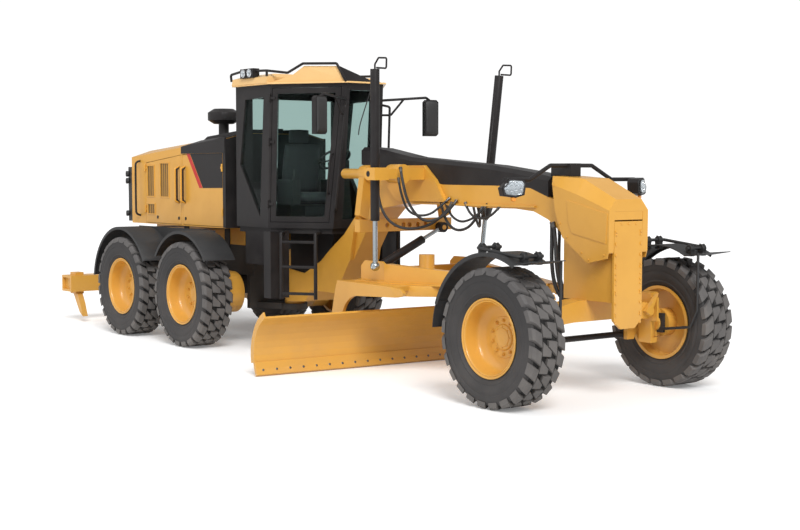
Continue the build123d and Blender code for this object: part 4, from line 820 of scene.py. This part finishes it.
# ---- cab
@dataclass
class CabInterior:
    """Seat, console, wheel and levers that show through the glass."""

    def cushion(self, name: str, centre: Point, size: Point, crown: float, tilt: float = 0.0) -> bpy.types.Object:
        """Makes a crowned cushion with sewn channels.

        Args:
            name: the piece's name.
            centre: its middle in station millimetres.
            size: its three sides.
            crown: how far its faces swell.
            tilt: degrees that it leans backwards.

        Returns:
            The new object.
        """
        maker = Maker()
        n = 18
        lx, ly, lz = (v / 2 for v in size)
        turn = Matrix.Rotation(radians(tilt), 3, "Y")

        def at(u: float, v: float, up: int) -> Point:
            """A point of the top or the underside, from -1 to 1 along both sides."""
            pu = abs(u) ** 4
            pv = abs(v) ** 4
            swell = (1 - pu) * (1 - pv)
            seam = 5.0 * exp(-((abs(v) - 0.62) / 0.05) ** 2) * swell
            p = Vector((u * lx * (1 - 0.05 * v * v), v * ly * (1 - 0.05 * u * u),
                        up * (lz * (0.55 + 0.45 * swell ** 0.5) + crown * swell * (1 if up > 0 else 0.3) - seam)))
            return tuple(Vector(centre) + turn @ p)

        grid = [-1 + 2 * i / n for i in range(n + 1)]
        top = [[at(u, v, 1) for v in grid] for u in grid]
        low = [[at(u, v, -1) for v in grid] for u in grid]
        maker.ring_loft(top, closed=False, capped=False)
        maker.ring_loft(low, closed=False, capped=False)
        walk = ([(0, j) for j in range(n + 1)] + [(i, n) for i in range(1, n + 1)]
                + [(n, j) for j in range(n - 1, -1, -1)] + [(i, 0) for i in range(n - 1, 0, -1)])
        rim = [(top[i][j], low[i][j]) for i, j in walk]
        mids = []
        for a, b in rim:
            mid = (Vector(a) + Vector(b)) / 2
            mids.append(tuple(mid + (mid - Vector(centre)).normalized() * crown * 0.4))
        maker.ring_loft([[a for a, _ in rim], mids, [b for _, b in rim]], capped=False)
        bmesh.ops.remove_doubles(maker.bm, verts=maker.bm.verts, dist=0.2)
        obj = maker.piece(name, "front_frame", Finish.FABRIC, bevel=0, smooth=80)
        return obj

    def build(self) -> None:
        """Makes the interior's pieces, which stand for the plain CAD interior."""
        self.cushion("seat_cushion", (-4480, 0, 1720), (500, 500, 110), 12)
        self.cushion("seat_back", (-4705, 0, 2060), (560, 470, 100), 10, tilt=-82)
        self.cushion("head_rest", (-4745, 0, 2430), (150, 250, 70), 6, tilt=-84)
        frame_parts = Maker()
        frame_parts.block((-4650, -4350), (-180, 180), (1408, 1640))
        for y in (-320, 320):
            frame_parts.block((-4690, -4310), (y - 55, y + 55), (1645, 1930))
            frame_parts.turned([(0, 24), (40, 20), (70, 12), (110, 16), (125, 8)], (-4360, y, 1925),
                               Vector((0.1, 0, 1)), 16)
        obj = frame_parts.piece("seat_frame", "front_frame", Finish.TRIM, bevel=10)
        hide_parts("cab_interior")
        console = Maker()
        console.ring_loft([[(-3960, -100, 1408), (-3800, -100, 1408), (-3800, 100, 1408), (-3960, 100, 1408)],
                           [(-3960, -90, 1800), (-3850, -90, 1800), (-3850, 90, 1800), (-3960, 90, 1800)],
                           [(-4000, -110, 2120), (-3890, -110, 2150), (-3890, 110, 2150), (-4000, 110, 2120)]])
        console.bar((-3990, 0, 2120), (-4025, 0, 2160), 26)
        console.piece("console", "front_frame", Finish.TRIM, bevel=8)
        self.wheel()

    def wheel(self) -> None:
        """Makes the steering wheel: a rim of round section, spokes and a boss."""
        maker = Maker()
        turn = Matrix.Translation((-4030, 0, 2165)) @ Matrix.Rotation(radians(-35), 4, "Y")
        sides, rings = 12, []
        for i in range(48):
            a = 2 * pi * i / 48
            ring = []
            for k in range(sides):
                b = 2 * pi * k / sides
                r = 185 + 13 * cos(b)
                ring.append(tuple(turn @ Vector((r * cos(a), r * sin(a), 13 * sin(b)))))
            rings.append(ring)
        maker.ring_loft(rings + rings[:1], capped=False)
        bmesh.ops.remove_doubles(maker.bm, verts=maker.bm.verts, dist=0.1)
        for a in (0, 2.1, 4.2):
            end = Vector((178 * cos(a), 178 * sin(a), 0))
            maker.bar(tuple(turn @ Vector((0, 0, -6))), tuple(turn @ end), 9)
        maker.turned([(-14, 40), (0, 44), (12, 36), (16, 10)], tuple(turn @ Vector((0, 0, 0))),
                     turn.to_3x3() @ Vector((0, 0, 1)), 24)
        maker.piece("steering_wheel", "front_frame", Finish.TRIM, bevel=0, smooth=50)


@dataclass
class CabTrim:
    """Mirror faces and backs, and the windscreen's wiper."""

    def build(self) -> None:
        """Makes the trim."""
        for side, s in SIDES:
            mirror = Maker()
            turn = Matrix.Translation((-3234, s * 744, 2612)) @ Matrix.Rotation(radians(-s * 12), 4, "Z")
            face = [(-76, -186), (-76, 168), (-56, 188), (56, 188), (76, 168), (76, -168), (56, -186)]
            mirror.ring_loft([[tuple(turn @ Vector((d, u, v))) for u, v in face] for d in (-27.5, -26)])
            mirror.piece(f"mirror_face_{side}", "front_frame", Finish.MIRROR, bevel=0)
            back = Maker()
            rings = []
            for d, f in ((34, 1.0), (44, 0.96), (54, 0.82), (58, 0.55)):
                rings.append([tuple(turn @ Vector((d, u * f, v * f))) for u, v in face])
            back.ring_loft(rings)
            back.piece(f"mirror_back_{side}", "front_frame", Finish.TRIM, bevel=3, smooth=50)
        arm = [(-3426, 60, 2890), (-3448, 0, 2695), (-3470, -60, 2500), (-3478, -60, 2420)]
        hose("wiper_arm_0", "front_frame", arm, 6, Finish.TRIM)


# ---- front end
@dataclass
class NoseTrim:
    """Trim of the nose, the front mudguards, the roof's front slope and the centre rod's eye.

    Attributes:
        axle_z: height of the front axle.
        flap_r: outer radius of the mudguards' rear flaps.
    """

    axle_z: float = 606.0
    flap_r: float = 729.0

    def build(self) -> None:
        """Makes the pieces."""
        self.plate()
        self.eye_ring()
        for side, s in SIDES:
            self.clamps(side, s)
        self.roof_slope()
        for side, s in SIDES:
            self.flap(side, s)
        self.cover_bolts()

    def plate(self) -> None:
        """Makes the front plate's bolts and the lip over it."""
        bolts = Maker()
        for y in (-154, 154):
            for z in range(700, 1560, 86):
                bolts.bolt((455, y, z), Vector((1, 0, 0)), 10, 8)
        for y in (-90, 0, 90):
            bolts.bolt((455, y, 1568), Vector((1, 0, 0)), 9, 7)
        bolts.piece("plate_bolts", "front_frame", Finish.YELLOW, bevel=0)
        lip = Maker()
        lip.block((446, 454), (-177, 177), (1603, 1684))
        lip.piece("nose_lip", "front_frame", Finish.YELLOW, bevel=2)

    def eye_ring(self) -> None:
        """Makes the dark ring over the centre rod's eye."""
        eye = Maker()
        eye.turned([(-41, 30), (-41, 55), (41, 55), (41, 30)], (-2648, 433, 1430), Vector((1, 0, 0)), 36)
        eye.piece("centre_eye_ring", "centre_rod", Finish.DARK, bevel=2)

    def clamps(self, side: str, s: int) -> None:
        """Makes the round clamps with their bolts on one front mudguard's tube."""
        clamps = Maker()
        for x, z in ((330, 1313), (-200, 1368)):
            for y in (960, 1120):
                clamps.turned([(-25, 24), (-25, 34), (-20, 38), (20, 38), (25, 34), (25, 24)], (x, s * y, z),
                              Vector((0, 1, 0)), 24)
                for dx in (-22, 22):
                    clamps.bolt((x + dx, s * y, z + 30), Vector((0, 0, 1)), 9, 12)
        clamps.piece(f"fender_clamps_{side}", f"knuckle_{side}", Finish.TRIM, bevel=1)

    def roof_slope(self) -> None:
        """Makes the dark panel on the roof's front slope."""
        slope = Maker()
        corners = ((-3512, -296, 3156), (-3440, -246, 2987), (-3440, 150, 2987), (-3664, 150, 3043))
        slope.ring_loft([[(x + d, y, z + d) for x, y, z in corners] for d in (-1, 3)])
        slope.piece("roof_front_panel", "front_frame", Finish.DARK, bevel=0)

    def flap(self, side: str, s: int) -> None:
        """Makes the rear flap of one front mudguard."""
        flap = Maker()
        inner = self.flap_r - 7
        rings = []
        for k in range(9):
            a = radians(158 + 2.4 * k)
            rings.append([(r * cos(a), s * y, self.axle_z + r * sin(a))
                          for r, y in ((self.flap_r, 866), (self.flap_r, 1246), (inner, 1246), (inner, 866))])
        flap.ring_loft(rings)
        flap.piece(f"fender_flap_{side}", f"knuckle_{side}", Finish.TRIM, bevel=0)

    def cover_bolts(self) -> None:
        """Makes the bolts on the nose cover's sides."""
        heads = Maker()
        for s in (1, -1):
            for x, z in ((-230, 1900), (-150, 1560), (-60, 1440), (120, 1310), (210, 1250), (400, 1300), (430, 1600)):
                heads.bolt((x, s * 245, z), Vector((0, s, 0)), 9, 7)
        heads.piece("nose_bolts", "front_frame", Finish.YELLOW, bevel=0)


@dataclass
class BladeTrim:
    """Bolt row of the cutting edge.

    Attributes:
        half_len: half the blade's length.
        yaw: degrees that the blade is turned at rest.
        arc: radius of the front curve.
        height: height along the curve's chord.
        tilt: degrees that the section leans.
        edge: where the section starts behind the circle's axis.
        bolts: how many bolts the row has.
    """

    half_len: float = 1829.0
    yaw: float = 4.4
    arc: float = 413.0
    height: float = 610.0
    tilt: float = 17.0
    edge: float = -365.0
    bolts: int = 24

    def build(self) -> None:
        """Makes the bolt heads along the edge."""
        turn = Matrix.Translation((-2300, 0, 0)) @ Matrix.Rotation(radians(-self.yaw), 4, "Z")
        section = self.section()
        (x0, z0), (x1, z1) = section[-1], section[-3]
        bolts = Maker()
        out = Vector((z0 - z1, 0, x1 - x0)).normalized()
        out = out if out.x > 0 else -out
        up = 0.45
        for i in range(self.bolts):
            y = -self.half_len + 80 + i * (2 * self.half_len - 160) / (self.bolts - 1)
            p = Vector((x0 + (x1 - x0) * up, y, z0 + (z1 - z0) * up)) + out * 15
            bolts.turned([(0, 13), (2, 13), (4, 9)], tuple(turn @ p), turn.to_3x3() @ out, 12)
        bolts.piece("edge_bolts", "mouldboard", Finish.STEEL, bevel=0)

    def section(self) -> list[Pair]:
        """Points of the mouldboard's front curve, top to bottom."""
        arc, tilt = self.arc, radians(self.tilt)
        half = asin(self.height / 2 / arc)
        pts = []
        for i in range(11):
            a = half - 2 * half * i / 10
            u, v = arc * cos(half) - arc * cos(a), self.height / 2 + arc * sin(a)
            pts.append((self.edge + u * cos(tilt) + v * sin(tilt), v * cos(tilt) - u * sin(tilt)))
        low = min(z for _, z in pts)
        return [(x, z - low) for x, z in pts]


# lines held at both ends on the front frame: name, radius, control points
HOSES = (
    ("saddle_hose_a", 14, ((-2080, -560, 2060), (-2010, -600, 1960), (-1960, -560, 1700), (-1900, -420, 1520),
        (-1780, -280, 1560), (-1700, -190, 1700), (-1690, -160, 1740))),
    ("saddle_hose_b", 14, ((-2440, -560, 1990), (-2400, -620, 1840), (-2300, -600, 1560), (-2120, -500, 1440),
        (-1900, -330, 1480), (-1780, -200, 1640), (-1760, -160, 1720))),
    ("saddle_hose_c", 12, ((-2140, -540, 1960), (-2080, -560, 1800), (-2020, -500, 1600), (-1900, -350, 1580),
        (-1820, -230, 1700), (-1800, -160, 1760))),
    ("beam_hose_a", 14, ((-1960, -150, 1770), (-1880, -190, 1600), (-1700, -200, 1440), (-1500, -180, 1460),
        (-1360, -165, 1600), (-1300, -150, 1700))),
    ("beam_hose_b", 12, ((-1900, -150, 1760), (-1800, -185, 1620), (-1620, -185, 1520), (-1440, -175, 1560),
        (-1320, -160, 1640), (-1240, -150, 1710))),
    ("beam_hose_c", 12, ((-1560, -160, 1720), (-1480, -180, 1600), (-1280, -180, 1560), (-1120, -170, 1620),
        (-1060, -150, 1700))),
    ("nose_hose_a", 18, ((-330, -150, 1560), (-260, -190, 1400), (-240, -200, 1200), (-250, -150, 1000),
        (-210, -120, 860), (-150, -100, 800))),
    ("nose_hose_b", 18, ((-380, -120, 1560), (-330, -170, 1380), (-310, -190, 1180), (-300, -160, 980),
        (-250, -110, 860), (-200, -80, 790))),
    ("nose_hose_c", 15, ((-300, -100, 1500), (-290, -120, 1300), (-270, -130, 1100), (-230, -120, 950),
        (-180, -110, 850))),
)


@dataclass
class Hoses:
    """Hydraulic lines at the saddle, along the beam and behind the nose."""

    def build(self) -> None:
        """Makes each line with a crimped end fitting."""
        body = "front_frame"
        for name, r, points in HOSES:
            for side, s in SIDES[1:] if name.startswith("beam") else SIDES:
                pts = [(x, y * -s, z) for x, y, z in points]
                hose(f"{name}_{side}", body, pts, r)
                ends = Maker()
                for a, b in ((pts[0], pts[1]), (pts[-1], pts[-2])):
                    d = (Vector(b) - Vector(a)).normalized()
                    ends.turned([(0, r + 5), (14, r + 5), (16, r + 2), (50, r + 2), (54, r)], a, d, 12)
                ends.piece(f"{name}_{side}_ends", body, Finish.STEEL, bevel=0)


# ---- stage
@dataclass
class Stage:
    """Camera, lights, floor and background.

    Attributes:
        lens: focal length in millimetres.
        at: the camera's place in metres.
        yaw: degrees from straight ahead.
        pitch: degrees that it looks down.
        ambient: strength of the surroundings' light.
        seen: strength of the surroundings as seen.
        floor_glow: what the floor adds where it is seen.
    """

    lens: float = 62.9
    at: Point = (13.056, -9.022, 2.031)
    yaw: float = 52.40
    pitch: float = 3.86
    ambient: float = 0.55
    seen: float = 1.05
    floor_glow: float = 0.17

    def build(self) -> None:
        """Makes the stage."""
        self.camera()
        self.lights()
        self.floor()

    def camera(self) -> None:
        """Sets the camera at the front right quarter."""
        data = bpy.data.cameras.new("camera")
        data.lens, data.sensor_width = self.lens, 36.0
        data.dof.use_dof = False
        data.clip_end = 500
        cam = bpy.data.objects.new("camera", data)
        bpy.context.scene.collection.objects.link(cam)
        yaw, pitch = radians(self.yaw), radians(self.pitch)
        back = Vector((sin(yaw) * cos(pitch), -cos(yaw) * cos(pitch), sin(pitch)))
        cam.location = self.at
        cam.rotation_mode = "QUATERNION"
        cam.rotation_quaternion = (-back).to_track_quat("-Z", "Y")
        bpy.context.scene.camera = cam

    def lights(self) -> None:
        """Makes the soft studio lights and the white surroundings."""
        scene = bpy.context.scene
        scene.view_settings.view_transform = "Standard"
        world = bpy.data.worlds.new("world")
        scene.world = world
        world.use_nodes = True
        tree = world.node_tree
        back = tree.nodes["Background"]
        back.inputs["Color"].default_value = (1, 1, 1, 1)
        seen = tree.nodes.new("ShaderNodeLightPath").outputs["Is Camera Ray"]
        tree.links.new(ranged(tree, seen, (self.ambient, self.seen)), back.inputs["Strength"])
        for name, energy, angle, turn in (("key", 2.35, 24, (48, 0, 62)), ("fill", 0.5, 50, (60, 0, -20))):
            light = bpy.data.lights.new(name, "SUN")
            light.energy, light.angle = energy, radians(angle)
            obj = bpy.data.objects.new(name, light)
            obj.rotation_euler = [radians(v) for v in turn]
            scene.collection.objects.link(obj)

    def floor(self) -> None:
        """Makes the pale floor."""
        mesh = bpy.data.meshes.new("floor")
        r, z = 120.0, -0.002
        mesh.from_pydata([(-r, -r, z), (r, -r, z), (r, r, z), (-r, r, z)], [], [(0, 1, 2, 3)])
        obj = bpy.data.objects.new("floor", mesh)
        bpy.context.scene.collection.objects.link(obj)
        surface = Surface((0.93, 0.93, 0.93), (0.95, 0.95, 0.95), 0.5, (0.9, 0.95), grain=20, bump=0.0001)
        mat = surface.build("finish_floor")
        tree = mat.node_tree
        bsdf = tree.nodes["Principled BSDF"]
        bsdf.inputs["Emission Color"].default_value = (1, 1, 1, 1)
        seen = tree.nodes.new("ShaderNodeLightPath").outputs["Is Camera Ray"]
        tree.links.new(ranged(tree, seen, (0.0, self.floor_glow)), bsdf.inputs["Emission Strength"])
        obj.data.materials.append(mat)


def main() -> None:
    """Builds the looks in order."""
    logging.basicConfig(level=logging.INFO)
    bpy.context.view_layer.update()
    builders = [Stage(), CadNodes()]
    for axle, x in (("front", 0.0), ("mid", TANDEM_X + TANDEM_HALF), ("rear", TANDEM_X - TANDEM_HALF)):
        builders += [Wheel(axle, side, x, s) for side, s in SIDES]
    builders += [HeadLamps(), HoodTrim(), CabInterior(), CabTrim(), NoseTrim(), BladeTrim(), Hoses()]
    for builder in builders:
        builder.build()
        LOG.info("built %s", type(builder).__name__)


if __name__ == "__main__":
    main()
